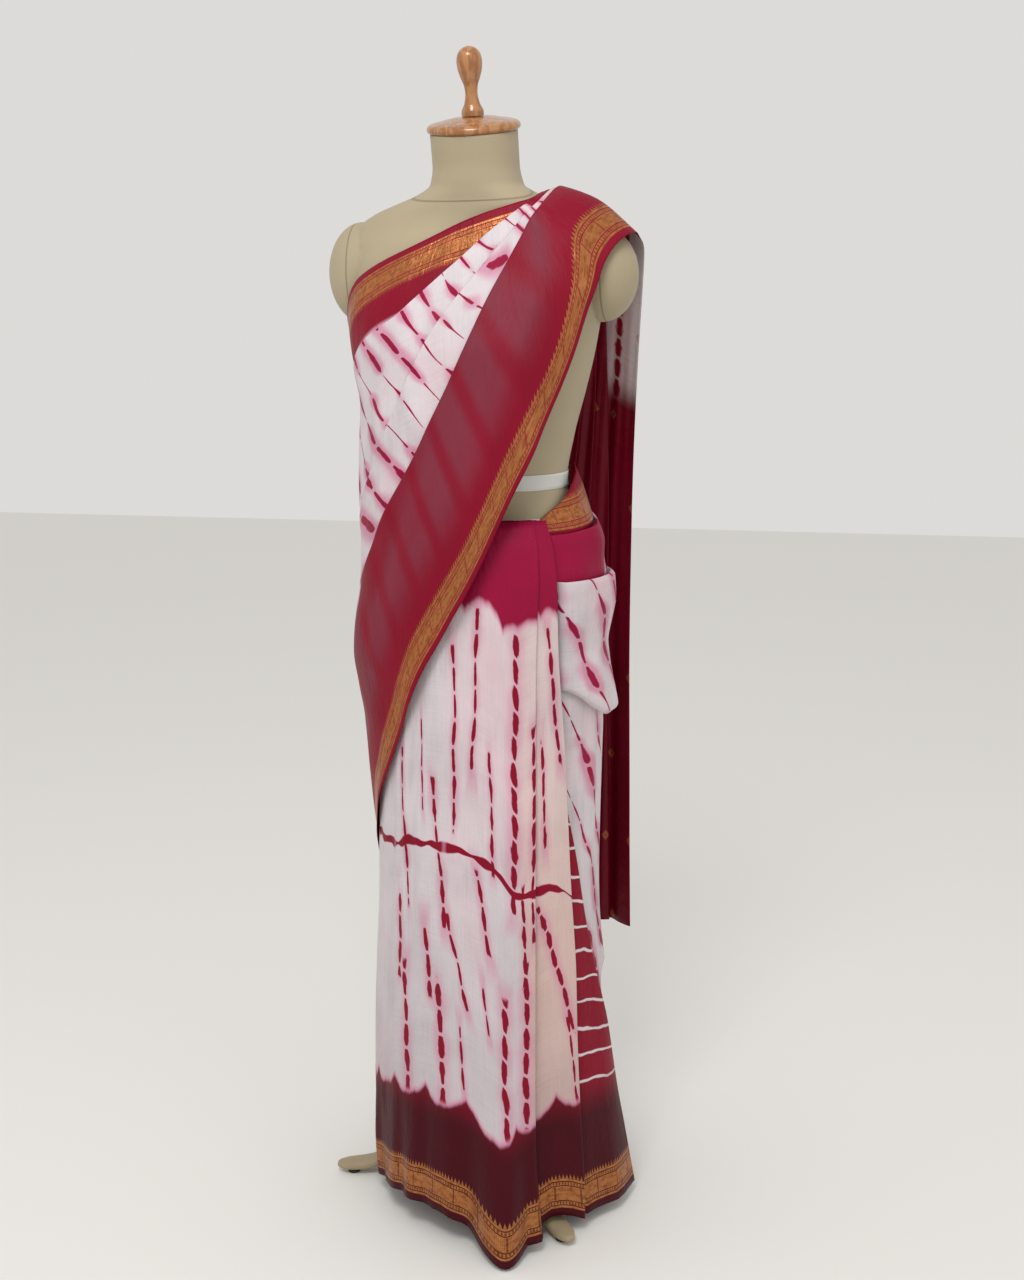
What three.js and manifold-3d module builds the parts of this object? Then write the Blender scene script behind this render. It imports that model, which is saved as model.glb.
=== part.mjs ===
// Silk saree draped on a limbless dress form that stands on a wooden tripod.
// Millimetres, +Z up. The form's chest faces -Y and its left side is +X.
// Angles round the form are in degrees from the front (-Y), positive towards its left (+X).
import * as THREE from 'three';
import { mergeVertices } from 'three/addons/utils/BufferGeometryUtils.js';
import Module from 'manifold-3d';

const wasm = await Module();
wasm.setup();

// Driving dimensions
const FORM_BASE_Z = 720;
const WAIST_TOP = 986;
const NECK_TOP_Z = 1480;
const NECK_LEAN_Y = -18;
const NECK_LEAN = 0.2;
const CLOTH = 1;
const SEAM_GAP = 0.4;
const OVAL_POWER = 2.2;
const FORM_SECTORS = 36;
const SKIRT_SECTORS = 48;

// Outline of the dress form, a row for each level
const FORM_ROWS = [
  { z: 720, side: 136, front: 98, back: 112, y: 0 },
  { z: 800, side: 146, front: 104, back: 124, y: 0 },
  { z: 880, side: 143, front: 104, back: 112, y: 0 },
  { z: 960, side: 130, front: 97, back: 91, y: 0 },
  { z: 1031, side: 116, front: 90, back: 80, y: 0 },
  { z: 1090, side: 126, front: 98, back: 86, y: 0 },
  { z: 1150, side: 142, front: 112, back: 96, y: 0 },
  { z: 1200, side: 154, front: 120, back: 104, y: 0 },
  { z: 1250, side: 163, front: 112, back: 110, y: 0 },
  { z: 1300, side: 171, front: 92, back: 112, y: 0 },
  { z: 1340, side: 176, front: 72, back: 104, y: 0 },
  { z: 1362, side: 168, front: 60, back: 94, y: 0 },
  { z: 1380, side: 140, front: 56, back: 84, y: -2 },
  { z: 1392, side: 108, front: 56, back: 76, y: -3 },
  { z: 1402, side: 80, front: 57, back: 68, y: -4 },
  { z: 1414, side: 61, front: 57, back: 61, y: -6 },
  { z: 1440, side: 56, front: 56, back: 56, y: -10 },
  { z: NECK_TOP_Z, side: 56, front: 56, back: 56, y: NECK_LEAN_Y },
];
const BUST = { angle: 33, z: 1195, depth: 16, spread: 20, height: 55 };
const ARM_CAPS = [
  { x: 165, y: 4, z: 1297, reach: 47, depth: 51, height: 60 },
  { x: -163, y: 4, z: 1304, reach: 47, depth: 51, height: 67 },
];

// How far the first round of cloth stands from the pole, a row for each level
const SKIRT_ROWS = [
  { z: 8, left: 186, right: 156, front: 138, back: 152 },
  { z: 105, left: 174, right: 166, front: 135, back: 148 },
  { z: 264, left: 158, right: 162, front: 132, back: 143 },
  { z: 352, left: 152, right: 157, front: 130, back: 140 },
  { z: 472, left: 150, right: 150, front: 126, back: 138 },
  { z: 600, left: 153, right: 149, front: 120, back: 136 },
  { z: 720, left: 157, right: 149, front: 114, back: 134 },
  { z: 820, left: 158, right: 156, front: 110, back: 131 },
  { z: 900, left: 154, right: 149, front: 109, back: 119 },
  { z: 960, left: 138, right: 137, front: 103, back: 99 },
  { z: 1000, left: 131, right: 130, front: 99, back: 92 },
];

// How far the upper round stands from the pole, taut from the chest and shoulders down to the hips
const DRAPE_ROWS = [
  { z: 340, left: 172, right: 159, front: 134, back: 154 },
  { z: 472, left: 168, right: 156, front: 136, back: 151 },
  { z: 582, left: 170, right: 156, front: 138, back: 149 },
  { z: 700, left: 172, right: 157, front: 141, back: 147 },
  { z: 750, left: 173, right: 163, front: 142, back: 146 },
  { z: 800, left: 174, right: 171, front: 144, back: 144 },
  { z: 880, left: 171, right: 163, front: 147, back: 137 },
  { z: 950, left: 165, right: 158, front: 147, back: 129 },
  { z: 1000, left: 160, right: 163, front: 147, back: 124 },
  { z: 1066, left: 154, right: 160, front: 145, back: 118 },
  { z: 1130, left: 160, right: 158, front: 143, back: 117 },
  { z: 1195, left: 172, right: 172, front: 140, back: 120 },
  { z: 1250, left: 188, right: 181, front: 126, back: 122 },
  { z: 1300, left: 206, right: 184, front: 103, back: 120 },
  { z: 1340, left: 204, right: 184, front: 80, back: 112 },
  { z: 1370, left: 180, right: 170, front: 66, back: 98 },
  { z: 1390, left: 140, right: 140, front: 62, back: 84 },
  { z: 1402, left: 110, right: 110, front: 62, back: 76 },
];

// Legs of the stand
const LEG_ANGLES = [-76.6, 43.4, 163.4];
const LEG_ROWS = [
  { out: 34.4, z: 136, wide: 26, tall: 40 },
  { out: 62, z: 122, wide: 26, tall: 34 },
  { out: 98, z: 80, wide: 26, tall: 30 },
  { out: 134, z: 38, wide: 27, tall: 25 },
  { out: 164, z: 17, wide: 29, tall: 20 },
  { out: 190, z: 10, wide: 31, tall: 15 },
  { out: 212, z: 8, wide: 28, tall: 13 },
  { out: 225, z: 7.5, wide: 18, tall: 10 },
  { out: 230, z: 7.5, wide: 9, tall: 6 },
];
const PAD = { out: 206, radius: 9, height: 4, thick: 5.4 };

const COLOURS = {
  canvas: { color: 0xb8a684, roughness: 0.85 },
  wood: { color: 0xb98450, roughness: 0.3 },
  stand: { color: 0x8a7a58, roughness: 0.6 },
  rubber: { color: 0x2b2926, roughness: 0.9 },
  tape: { color: 0xd9d8d2, roughness: 0.6 },
  silk: { color: 0xa01a40, roughness: 0.5 },
  silkPale: { color: 0xd8c9cc, roughness: 0.5 },
};

const radians = THREE.MathUtils.degToRad;
const mix = THREE.MathUtils.lerp;

// Smooth, overshoot-free curve through a column of a table
function curve(rows, column, at, key = 'z') {
  const first = rows[0][key];
  const last = rows[rows.length - 1][key];
  const x = Math.min(Math.max(at, first), last);
  let i = 0;
  while (i < rows.length - 2 && rows[i + 1][key] <= x) i += 1;
  const slope = (k) => (rows[k + 1][column] - rows[k][column]) / (rows[k + 1][key] - rows[k][key]);
  const tangent = (k) => {
    if (k === 0) return slope(0);
    if (k === rows.length - 1) return slope(k - 1);
    const a = slope(k - 1);
    const b = slope(k);
    return a * b <= 0 ? 0 : (2 * a * b) / (a + b);
  };
  const h = rows[i + 1][key] - rows[i][key];
  const t = (x - rows[i][key]) / h;
  const t2 = t * t;
  const t3 = t2 * t;
  return (2 * t3 - 3 * t2 + 1) * rows[i][column] + (t3 - 2 * t2 + t) * h * tangent(i)
    + (3 * t2 - 2 * t3) * rows[i + 1][column] + (t3 - t2) * h * tangent(i + 1);
}

function smooth(from, to, x) {
  return THREE.MathUtils.smoothstep((x - from) / (to - from), 0, 1);
}

// Radius of an oval with its own reach to the left, right, front and back
function oval(angle, left, right, front, back) {
  const s = Math.sin(radians(angle));
  const c = Math.cos(radians(angle));
  const side = s > 0 ? left : right;
  const end = c > 0 ? front : back;
  return (Math.abs(s / side) ** OVAL_POWER + Math.abs(c / end) ** OVAL_POWER) ** (-1 / OVAL_POWER);
}

function turn(angle) {
  return ((((angle + 180) % 360) + 360) % 360) - 180;
}

function formRadius(angle, z) {
  const side = curve(FORM_ROWS, 'side', z);
  const r = oval(angle, side, side, curve(FORM_ROWS, 'front', z), curve(FORM_ROWS, 'back', z));
  const across = (Math.abs(turn(angle)) - BUST.angle) / BUST.spread;
  const up = (z - BUST.z) / BUST.height;
  return r + BUST.depth * Math.exp(-across * across - up * up);
}

function ovalOf(rows, angle, z) {
  return oval(angle, ...['left', 'right', 'front', 'back'].map((column) => curve(rows, column, z)));
}

// The first round is drawn in to the form at the waist
function skirtRadius(angle, z) {
  const tight = formRadius(angle, z) + CLOTH / 2 + SEAM_GAP;
  return mix(ovalOf(SKIRT_ROWS, angle, z), tight, smooth(950, WAIST_TOP, z));
}

function around(angle, r, z) {
  return new THREE.Vector3(r * Math.sin(radians(angle)), -r * Math.cos(radians(angle)), z);
}

// Solids
function meshOf(points, triangles) {
  const geometry = new THREE.BufferGeometry();
  geometry.setAttribute('position', new THREE.Float32BufferAttribute(points.flatMap((p) => [p.x, p.y, p.z]), 3));
  let volume = 0;
  for (const [a, b, c] of triangles) volume += points[a].dot(points[b].clone().cross(points[c]));
  geometry.setIndex(triangles.flatMap(([a, b, c]) => (volume > 0 ? [a, b, c] : [a, c, b])));
  geometry.computeVertexNormals();
  return geometry;
}

// Closed body through rings of points, with a flat fan at each end
function loft(rings) {
  const n = rings[0].length;
  const points = rings.flat();
  const triangles = [];
  for (let i = 0; i < rings.length - 1; i += 1) {
    for (let j = 0; j < n; j += 1) {
      const a = i * n + j;
      const b = i * n + ((j + 1) % n);
      triangles.push([a, b, b + n], [a, b + n, a + n]);
    }
  }
  for (const [ring, flip] of [[0, true], [rings.length - 1, false]]) {
    const centre = rings[ring].reduce((sum, p) => sum.add(p), new THREE.Vector3()).divideScalar(n);
    points.push(centre);
    for (let j = 0; j < n; j += 1) {
      const a = ring * n + j;
      const b = ring * n + ((j + 1) % n);
      triangles.push(flip ? [b, a, points.length - 1] : [a, b, points.length - 1]);
    }
  }
  return meshOf(points, triangles);
}

// Cloth wall of even thickness on both sides of a grid of points, a closed tube when the columns join up
function wall(grid, closed = false, thickness = CLOTH) {
  const rows = grid.length;
  const cols = grid[0].length;
  const at = (i, j) => grid[Math.min(Math.max(i, 0), rows - 1)][
    closed ? (j + cols) % cols : Math.min(Math.max(j, 0), cols - 1)];
  const sides = [1, -1].map((side) => grid.map((row, i) => row.map((p, j) => {
    const across = at(i, j + 1).clone().sub(at(i, j - 1));
    const along = at(i + 1, j).clone().sub(at(i - 1, j));
    return p.clone().addScaledVector(across.cross(along).normalize(), (side * thickness) / 2);
  })));
  const points = sides.flat(2);
  const index = (side, i, j) => side * rows * cols + i * cols + (closed ? (j + cols) % cols : j);
  const triangles = [];
  const quad = (a, b, c, d) => triangles.push([a, b, c], [a, c, d]);
  const spans = closed ? cols : cols - 1;
  for (let i = 0; i < rows - 1; i += 1) {
    for (let j = 0; j < spans; j += 1) {
      quad(index(0, i, j), index(0, i, j + 1), index(0, i + 1, j + 1), index(0, i + 1, j));
      quad(index(1, i, j), index(1, i + 1, j), index(1, i + 1, j + 1), index(1, i, j + 1));
    }
  }
  for (let j = 0; j < spans; j += 1) {
    quad(index(0, 0, j), index(1, 0, j), index(1, 0, j + 1), index(0, 0, j + 1));
    quad(index(0, rows - 1, j), index(0, rows - 1, j + 1), index(1, rows - 1, j + 1), index(1, rows - 1, j));
  }
  for (let i = 0; i < rows - 1 && !closed; i += 1) {
    quad(index(0, i, 0), index(0, i + 1, 0), index(1, i + 1, 0), index(1, i, 0));
    quad(index(0, i, cols - 1), index(1, i, cols - 1), index(1, i + 1, cols - 1), index(0, i + 1, cols - 1));
  }
  return meshOf(points, triangles);
}

function solidOf(geometry) {
  const plain = mergeVertices(new THREE.BufferGeometry()
    .setAttribute('position', geometry.getAttribute('position').clone())
    .setIndex(geometry.getIndex()), 1e-4);
  return new wasm.Manifold(new wasm.Mesh({
    numProp: 3,
    vertProperties: plain.getAttribute('position').array,
    triVerts: Uint32Array.from(plain.getIndex().array),
  }));
}

function geometryOf(solid) {
  const mesh = solid.getMesh();
  const geometry = new THREE.BufferGeometry();
  geometry.setAttribute('position', new THREE.BufferAttribute(mesh.vertProperties, 3));
  geometry.setIndex(new THREE.BufferAttribute(mesh.triVerts, 1));
  geometry.computeVertexNormals();
  return geometry;
}

const model = new THREE.Group();

function add(name, geometry, look) {
  const material = new THREE.MeshStandardMaterial({ metalness: 0, ...COLOURS[look] });
  const mesh = new THREE.Mesh(geometry, material);
  mesh.name = name;
  model.add(mesh);
  return mesh;
}

function steps(from, to, count) {
  return Array.from({ length: count + 1 }, (_, i) => mix(from, to, i / count));
}

// Dress form
function torso() {
  const levels = [720, 800, 880, 920, 960, 995, 1021, 1031, 1042, 1080, 1120, 1160, 1195, 1230, 1265, 1300, 1330,
    1352, 1368, 1382, 1394, 1406, 1420, 1445, NECK_TOP_Z];
  const rings = levels.map((z) => steps(0, 360, FORM_SECTORS).slice(0, -1).map((angle) => {
    const p = around(angle, formRadius(angle, z), z);
    p.z += p.y * Math.tan(NECK_LEAN) * smooth(1414, NECK_TOP_Z, z);
    p.y += curve(FORM_ROWS, 'y', z);
    return p;
  }));
  let body = solidOf(loft(rings));
  for (const { x, y, z, reach, depth, height } of ARM_CAPS) {
    const cap = new THREE.SphereGeometry(1, 18, 10);
    cap.deleteAttribute('normal');
    cap.deleteAttribute('uv');
    cap.scale(reach, depth, height);
    cap.translate(x, y, z);
    body = body.add(solidOf(mergeVertices(cap)));
  }
  add('form_torso', geometryOf(body), 'canvas');
}

function waistTape() {
  const grid = [1021, 1031, 1042].map((z) => steps(0, 360, FORM_SECTORS).slice(0, -1)
    .map((angle) => around(angle, formRadius(angle, z) + 1, z)));
  add('waist_tape', wall(grid, true, 0.8), 'tape');
}

function turned(profile, sectors) {
  const geometry = new THREE.LatheGeometry(profile.map(([r, z]) => new THREE.Vector2(r, z)), sectors);
  geometry.rotateX(Math.PI / 2);
  return geometry;
}

function cleaned(geometry) {
  geometry.deleteAttribute('normal');
  geometry.deleteAttribute('uv');
  return geometryOf(solidOf(mergeVertices(geometry, 1e-3)));
}

const CAP_PROFILE = [[0, 0], [58, 0], [61, 3], [61, 7], [56, 11], [38, 15], [20, 18], [0, 19]];
const FINIAL_PROFILE = [[0, 0], [15, 0], [14, 5], [10, 15], [8, 27], [9, 36], [13, 47], [16, 58], [16.5, 66], [15, 74],
  [11, 80], [5, 83.5], [0, 84.5]];

function capAndFinial() {
  for (const [name, profile, lift] of [['neck_cap', CAP_PROFILE, SEAM_GAP],
    ['finial', FINIAL_PROFILE, SEAM_GAP + 19 + SEAM_GAP]]) {
    const geometry = turned(profile, 18);
    geometry.translate(0, 0, lift);
    geometry.rotateX(NECK_LEAN);
    geometry.translate(0, NECK_LEAN_Y, NECK_TOP_Z + SEAM_GAP);
    add(name, cleaned(geometry), 'wood');
  }
}

function legRing(row, direction, sectors) {
  return steps(0, 360, sectors).slice(0, -1).map((a) => {
    const c = Math.cos(radians(a));
    const s = Math.sin(radians(a));
    const across = Math.sign(c) * Math.abs(c) ** 0.75 * (row.wide / 2);
    const up = Math.sign(s) * Math.abs(s) ** 0.75 * (row.tall / 2);
    const lean = direction;
    const p = new THREE.Vector3(across, 0, 0);
    return p.add(new THREE.Vector3(0, -row.out - up * lean.z, row.z + up * lean.out));
  });
}

function stand() {
  const rows = LEG_ROWS.map((row) => ({ ...row, z: row.z + PAD.height }));
  const rings = rows.map((row, i) => {
    const a = rows[Math.max(i - 1, 0)];
    const b = rows[Math.min(i + 1, rows.length - 1)];
    const tangent = new THREE.Vector2(b.out - a.out, b.z - a.z).normalize();
    const direction = i === 0 ? { out: 1, z: 0 } : { out: tangent.x, z: tangent.y };
    return legRing(row, direction, 14);
  });
  LEG_ANGLES.forEach((angle, i) => {
    add(`leg_${i + 1}`, loft(rings).clone().rotateZ(radians(angle)), 'stand');
    const pad = new THREE.CylinderGeometry(PAD.radius, PAD.radius, PAD.thick, 12).rotateX(Math.PI / 2);
    const where = around(angle, PAD.out, PAD.thick / 2);
    add(`foot_pad_${i + 1}`, cleaned(pad.translate(where.x, where.y, where.z)), 'rubber');
  });
  add('hub', cleaned(turned([[0, 100], [24, 100], [33, 108], [34, 120], [34, 168], [30, 176], [20, 182], [0, 182]], 20)
  ), 'stand');
  add('pole', cleaned(turned([[0, 182 + SEAM_GAP], [16, 182 + SEAM_GAP], [16, 700 - SEAM_GAP],
    [0, 700 - SEAM_GAP]], 14)), 'stand');
  add('form_socket', cleaned(turned([[0, 700], [30, 700], [46, 706], [46, FORM_BASE_Z - SEAM_GAP],
    [0, FORM_BASE_Z - SEAM_GAP]], 18)), 'wood');
}

// Height of a hem, lifted where it passes over a leg
const HEM_CLEAR = 6;
const HEM_ARCH = 15;

function hemHeight(angle, r, plain) {
  const legTop = curve(LEG_ROWS, 'z', r, 'out') + curve(LEG_ROWS, 'tall', r, 'out') / 2 + PAD.height;
  return LEG_ANGLES.reduce((height, leg) => {
    const off = turn(angle - leg) / HEM_ARCH;
    return Math.max(height, (legTop + HEM_CLEAR) * 1.25 * Math.exp(-off * off));
  }, plain);
}

// First round of cloth: a tube from the waist to the floor
const SOFT_FOLDS = [{ waves: 7, depth: 3.2, phase: 20 }, { waves: 11, depth: 2.2, phase: 75 }];

const ROW_STOPS = [0, 0.05, 0.12, 0.22, 0.34, 0.46, 0.57, 0.67, 0.76, 0.84, 0.91, 0.96, 1];

function softFold(angle, z) {
  const backward = smooth(100, 150, Math.abs(turn(angle)));
  const low = smooth(640, 60, z);
  return SOFT_FOLDS.reduce((sum, f) => sum + f.depth * Math.cos(radians(f.waves * angle + f.phase)), 0) * backward * low;
}

function skirtWrap() {
  const grid = ROW_STOPS.map((v) => steps(0, 360, SKIRT_SECTORS).slice(0, -1).map((angle) => {
    const z = mix(hemHeight(angle, skirtRadius(angle, 20), 18), WAIST_TOP, v);
    return around(angle, skirtRadius(angle, z) + softFold(angle, z), z);
  }));
  add('skirt_wrap', wall(grid, true), 'silkPale');
}

// Front pleats: one ribbon folded to and fro, every layer at its own distance from the first round
const PLEAT_EDGES = [
  { z: 16, e1: 27.5, e2: 52, e3: 89, e4: 50, e5: 46 },
  { z: 100, e1: 29.5, e2: 53.5, e3: 88, e4: 50, e5: 46 },
  { z: 160, e1: 31, e2: 54, e3: 86, e4: 50, e5: 46 },
  { z: 260, e1: 33, e2: 55, e3: 81, e4: 50, e5: 46 },
  { z: 385, e1: 35, e2: 56.5, e3: 71, e4: 50, e5: 46 },
  { z: 500, e1: 36.6, e2: 55.5, e3: 63, e4: 50, e5: 46 },
  { z: 670, e1: 38.8, e2: 54.2, e3: 53, e4: 50, e5: 46 },
  { z: 830, e1: 41, e2: 52, e3: 50.5, e4: 49, e5: 46 },
  { z: 985, e1: 44.3, e2: 52.8, e3: 51, e4: 49.5, e5: 47.5 },
];
const PLEAT_DEPTH = [28, 33, 38, 33, 31];
const LAYER_TOP = 2.3;
const LAYER_INNER = 4;
const LAYER_WAIST = 1.65;
const LAYER_HEM = [66, 53, 43, 36, 29, 24, 19, 15, 11.5, 8, 5];
const CORNER = { angle: 19, spread: 8, reach: 52, above: 330 };
const PANEL_START = -100;

function layerLift(layer, angle, z) {
  const low = ((985 - z) / 985) ** 2;
  const count = LAYER_HEM.length;
  const first = mix(LAYER_INNER, LAYER_WAIST, smooth(940, WAIST_TOP, z));
  const full = mix(first + LAYER_TOP * (count - 1 - layer), LAYER_HEM[layer], low);
  const inner = first + 0.1;
  const spread = smooth(-78, 14, angle);
  const off = (angle - CORNER.angle) / CORNER.spread;
  const flare = layer === 0 ? CORNER.reach * Math.exp(-off * off) * smooth(CORNER.above, 0, z) ** 1.5 : 0;
  return mix(inner, full, spread) + flare;
}

const PANEL_HEM = [
  { angle: -100, z: 20 }, { angle: -68, z: 24 }, { angle: -45, z: 34 }, { angle: -25, z: 44 },
  { angle: -8, z: 43 }, { angle: 5, z: 31 }, { angle: 13, z: 14 }, { angle: 19, z: 4 }, { angle: 24, z: 9 },
  { angle: 29, z: 17 }, { angle: 60, z: 20 }, { angle: 90, z: 16 },
];

function frontPleats() {
  const stations = [{ layer: 0, from: PANEL_START, to: 'e1', parts: 17 }];
  PLEAT_DEPTH.forEach((depth, k) => {
    stations.push({ layer: 2 * k + 1, from: `e${k + 1}`, back: depth, parts: 3 });
    stations.push({ layer: 2 * k + 2, to: `e${k + 2}`, back: depth, start: `e${k + 1}`, parts: 3 });
  });
  const columns = [];
  const fold = 0.55;
  stations.forEach((s, index) => {
    const last = index === stations.length - 1;
    for (let i = 0; i <= s.parts; i += 1) {
      const t = i / s.parts;
      columns.push((z) => {
        const edge = (name) => curve(PLEAT_EDGES, name, z);
        let a;
        let b;
        if (s.layer === 0) [a, b] = [PANEL_START, edge('e1')];
        else if (s.layer % 2) [a, b] = [edge(s.from), edge(s.from) - s.back];
        else [a, b] = [edge(s.start) - s.back, last ? 44 : edge(s.to)];
        return { angle: mix(a, b, t), lift: (angle) => layerLift(s.layer, angle, z) };
      });
    }
    if (!last) {
      columns.push((z) => {
        const tip = s.layer % 2 ? curve(PLEAT_EDGES, s.from, z) - s.back : curve(PLEAT_EDGES, s.to, z);
        const gap = layerLift(s.layer, tip, z) - layerLift(s.layer + 1, tip, z);
        const out = radiansToDegrees((Math.max(gap, LAYER_TOP) * fold) / skirtRadius(tip, z));
        const angle = tip + (s.layer % 2 ? -out : out);
        return { angle, lift: (a) => (layerLift(s.layer, a, z) + layerLift(s.layer + 1, a, z)) / 2 };
      });
    }
  });
  const grid = ROW_STOPS.map((v) => columns.map((column) => {
    const low = column(PLEAT_EDGES[0].z);
    const foot = curve(PANEL_HEM, 'z', low.angle, 'angle');
    const reach = skirtRadius(low.angle, foot) + low.lift(low.angle);
    const z = mix(hemHeight(low.angle, reach, foot), WAIST_TOP, v);
    const { angle, lift } = column(z);
    return around(angle, skirtRadius(angle, z) + lift(angle), z);
  }));
  add('front_pleats', wall(grid), 'silk');
}

function radiansToDegrees(value) {
  return (value * 180) / Math.PI;
}

// Left hip: a flared band with a turned collar above it, and the fall below with its pouch and its swag
const HIP = { from: 56.5, to: 112 };

function hipFall() {
  const grid = steps(HIP.from, HIP.to, 13).map((angle) => {
    const round = smooth(56, 92, angle);
    const open = mix(1, 0.25, smooth(97, HIP.to, angle));
    const swag = mix(761, 714, smooth(54, 86, angle));
    const low = mix(24, 335, smooth(74, 104, angle));
    const nodes = [
      { z: 884, lift: 13 + CLOTH + SEAM_GAP },
      { z: 897, lift: 17 },
      { z: 905, lift: mix(18.6, 21, open) },
      { z: 899, lift: mix(19, 24 + 2 * round, open) },
      { z: 862, lift: mix(18, 23 + round, open) },
      { z: 806, lift: mix(15, 12, round) },
      { z: swag + 30, lift: mix(15, 17 + 6 * round, open) },
      { z: swag + 6, lift: mix(16, 19 + 8 * round, open) },
      { z: swag, lift: mix(13, 14 + 6 * round, open) },
      { z: swag + 6, lift: 11 },
      { z: swag + 15, lift: 8.6 },
      { z: swag - 4, lift: 6.4 },
      { z: 620, lift: 6.4 },
      { z: 500, lift: 6.4 },
      { z: mix(500, low, 0.55), lift: 7 },
      { z: low, lift: 7 + 5 * smooth(98, 106, angle) },
    ];
    return nodes.map((n) => around(angle, skirtRadius(angle, n.z) + n.lift, n.z));
  });
  add('hip_fall', wall(grid), 'silkPale');
}

const BAND_TOP = [{ angle: 54, z: 965 }, { angle: 67, z: 966 }, { angle: 90, z: 973 }, { angle: 112, z: 986 }];

function bandFlare(angle) {
  return mix(15, 28, smooth(56, 90, angle)) - 5 * smooth(94, HIP.to, angle);
}

function hipBand() {
  const grid = steps(54.6, HIP.to, 11).map((angle) => {
    const top = curve(BAND_TOP, 'z', angle, 'angle');
    const flare = bandFlare(angle);
    return [[top - 9, -3.5], [top, -1.5], [top - 3, 1.2], [top - 26, -2], [top - 52, mix(-3, -11, smooth(56, 92, angle))],
      [882, 13 - flare]].map(([z, extra]) => around(angle, skirtRadius(angle, z) + flare + extra, z));
  });
  add('hip_band', wall(grid), 'silk');
}

const COLLAR_TOP = [{ angle: 54, z: 984 }, { angle: 70, z: 1004 }, { angle: 90, z: 1032 }, { angle: 112, z: 1056 }];

function hipCollar() {
  const grid = steps(54.6, HIP.to, 11).map((angle) => {
    const top = curve(COLLAR_TOP, 'z', angle, 'angle');
    const band = curve(BAND_TOP, 'z', angle, 'angle');
    const outer = skirtRadius(angle, band) + bandFlare(angle) - 6;
    const inner = Math.max(formRadius(angle, top) + 3.5, skirtRadius(angle, Math.min(top, 990)) + 3);
    return [0, 0.3, 0.62, 0.88, 1].map((t) => around(angle, mix(inner, outer, t ** 0.8), mix(top, band + 4, t)))
      .concat([around(angle, outer - 1.5, band - 6)]);
  });
  add('hip_collar', wall(grid), 'silk');
}

// Upper round: across the back from the left hip to the right side
const BACK_TOP = [{ angle: 112, z: 1056 }, { angle: 150, z: 1098 }, { angle: 180, z: 1140 }, { angle: 210, z: 1185 }];
const BACK_FOOT = [{ angle: 112, z: 335 }, { angle: 150, z: 352 }, { angle: 180, z: 366 }, { angle: 210, z: 376 }];

function backFold(angle, z) {
  const middle = smooth(116, 140, angle) * smooth(210, 190, angle);
  const slant = angle + (z - 700) * 0.06;
  return middle * smooth(1080, 700, z) * (2.4 * Math.cos(radians(9 * slant)) + 1.6 * Math.cos(radians(17 * slant + 50)));
}

function backRadius(angle, z) {
  const drape = ovalOf(DRAPE_ROWS, angle, z);
  const skirt = skirtRadius(angle, z) + 8;
  return Math.max(mix(skirt, drape, smooth(112, 160, angle)), formRadius(angle, z) + 3) + backFold(angle, z);
}

function backWrap() {
  const grid = steps(HIP.to + 0.3, 210, 20).map((angle) => {
    const top = curve(BACK_TOP, 'z', angle, 'angle');
    const foot = curve(BACK_FOOT, 'z', angle, 'angle');
    return steps(top, foot, 14).map((z) => around(angle, backRadius(angle, z), z));
  });
  add('back_wrap', wall(grid), 'silkPale');
}

// Upper sheet from the right side over the chest to the left shoulder. Each row is a line across the cloth, from its
// upper border to its lower one: a, b and c are where its three pleats start, and tuck is how far each runs under.
const CHEST_ROWS = [
  { s: 0, upAngle: -149.6, upZ: 1185, lowAngle: -149.6, lowZ: 376, a: 0.15, b: 0.37, c: 0.52, tuck: 0.008, rise: 0.85, hem: 1 },
  { s: 1, upAngle: -118, upZ: 1218, lowAngle: -112, lowZ: 420, a: 0.15, b: 0.38, c: 0.53, tuck: 0.02, rise: 0.85, hem: 1 },
  { s: 2, upAngle: -85, upZ: 1231, lowAngle: -80, lowZ: 482, a: 0.15, b: 0.4, c: 0.55, tuck: 0.03, rise: 0.9, hem: 1 },
  { s: 3, upAngle: -64, upZ: 1298, lowAngle: -43, lowZ: 647, a: 0.16, b: 0.44, c: 0.58, tuck: 0.04, rise: 1, hem: 1.5 },
  { s: 4, upAngle: -40, upZ: 1336, lowAngle: -18, lowZ: 784, a: 0.17, b: 0.39, c: 0.56, tuck: 0.05, rise: 1, hem: 3 },
  { s: 5, upAngle: -10, upZ: 1361, lowAngle: 9, lowZ: 905, a: 0.125, b: 0.25, c: 0.45, tuck: 0.06, rise: 1, hem: 5 },
  { s: 6, upAngle: 18, upZ: 1374, lowAngle: 31, lowZ: 1033, a: 0.087, b: 0.175, c: 0.287, tuck: 0.1, rise: 1, hem: 6 },
  { s: 7, upAngle: 40, upZ: 1383, lowAngle: 52, lowZ: 1149, a: 0.06, b: 0.124, c: 0.185, tuck: 0.2, rise: 1, hem: 4 },
  { s: 8, upAngle: 56, upZ: 1391, lowAngle: 70, lowZ: 1294, a: 0.035, b: 0.08, c: 0.12, tuck: 0.3, rise: 0.85, hem: 2 },
];
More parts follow.
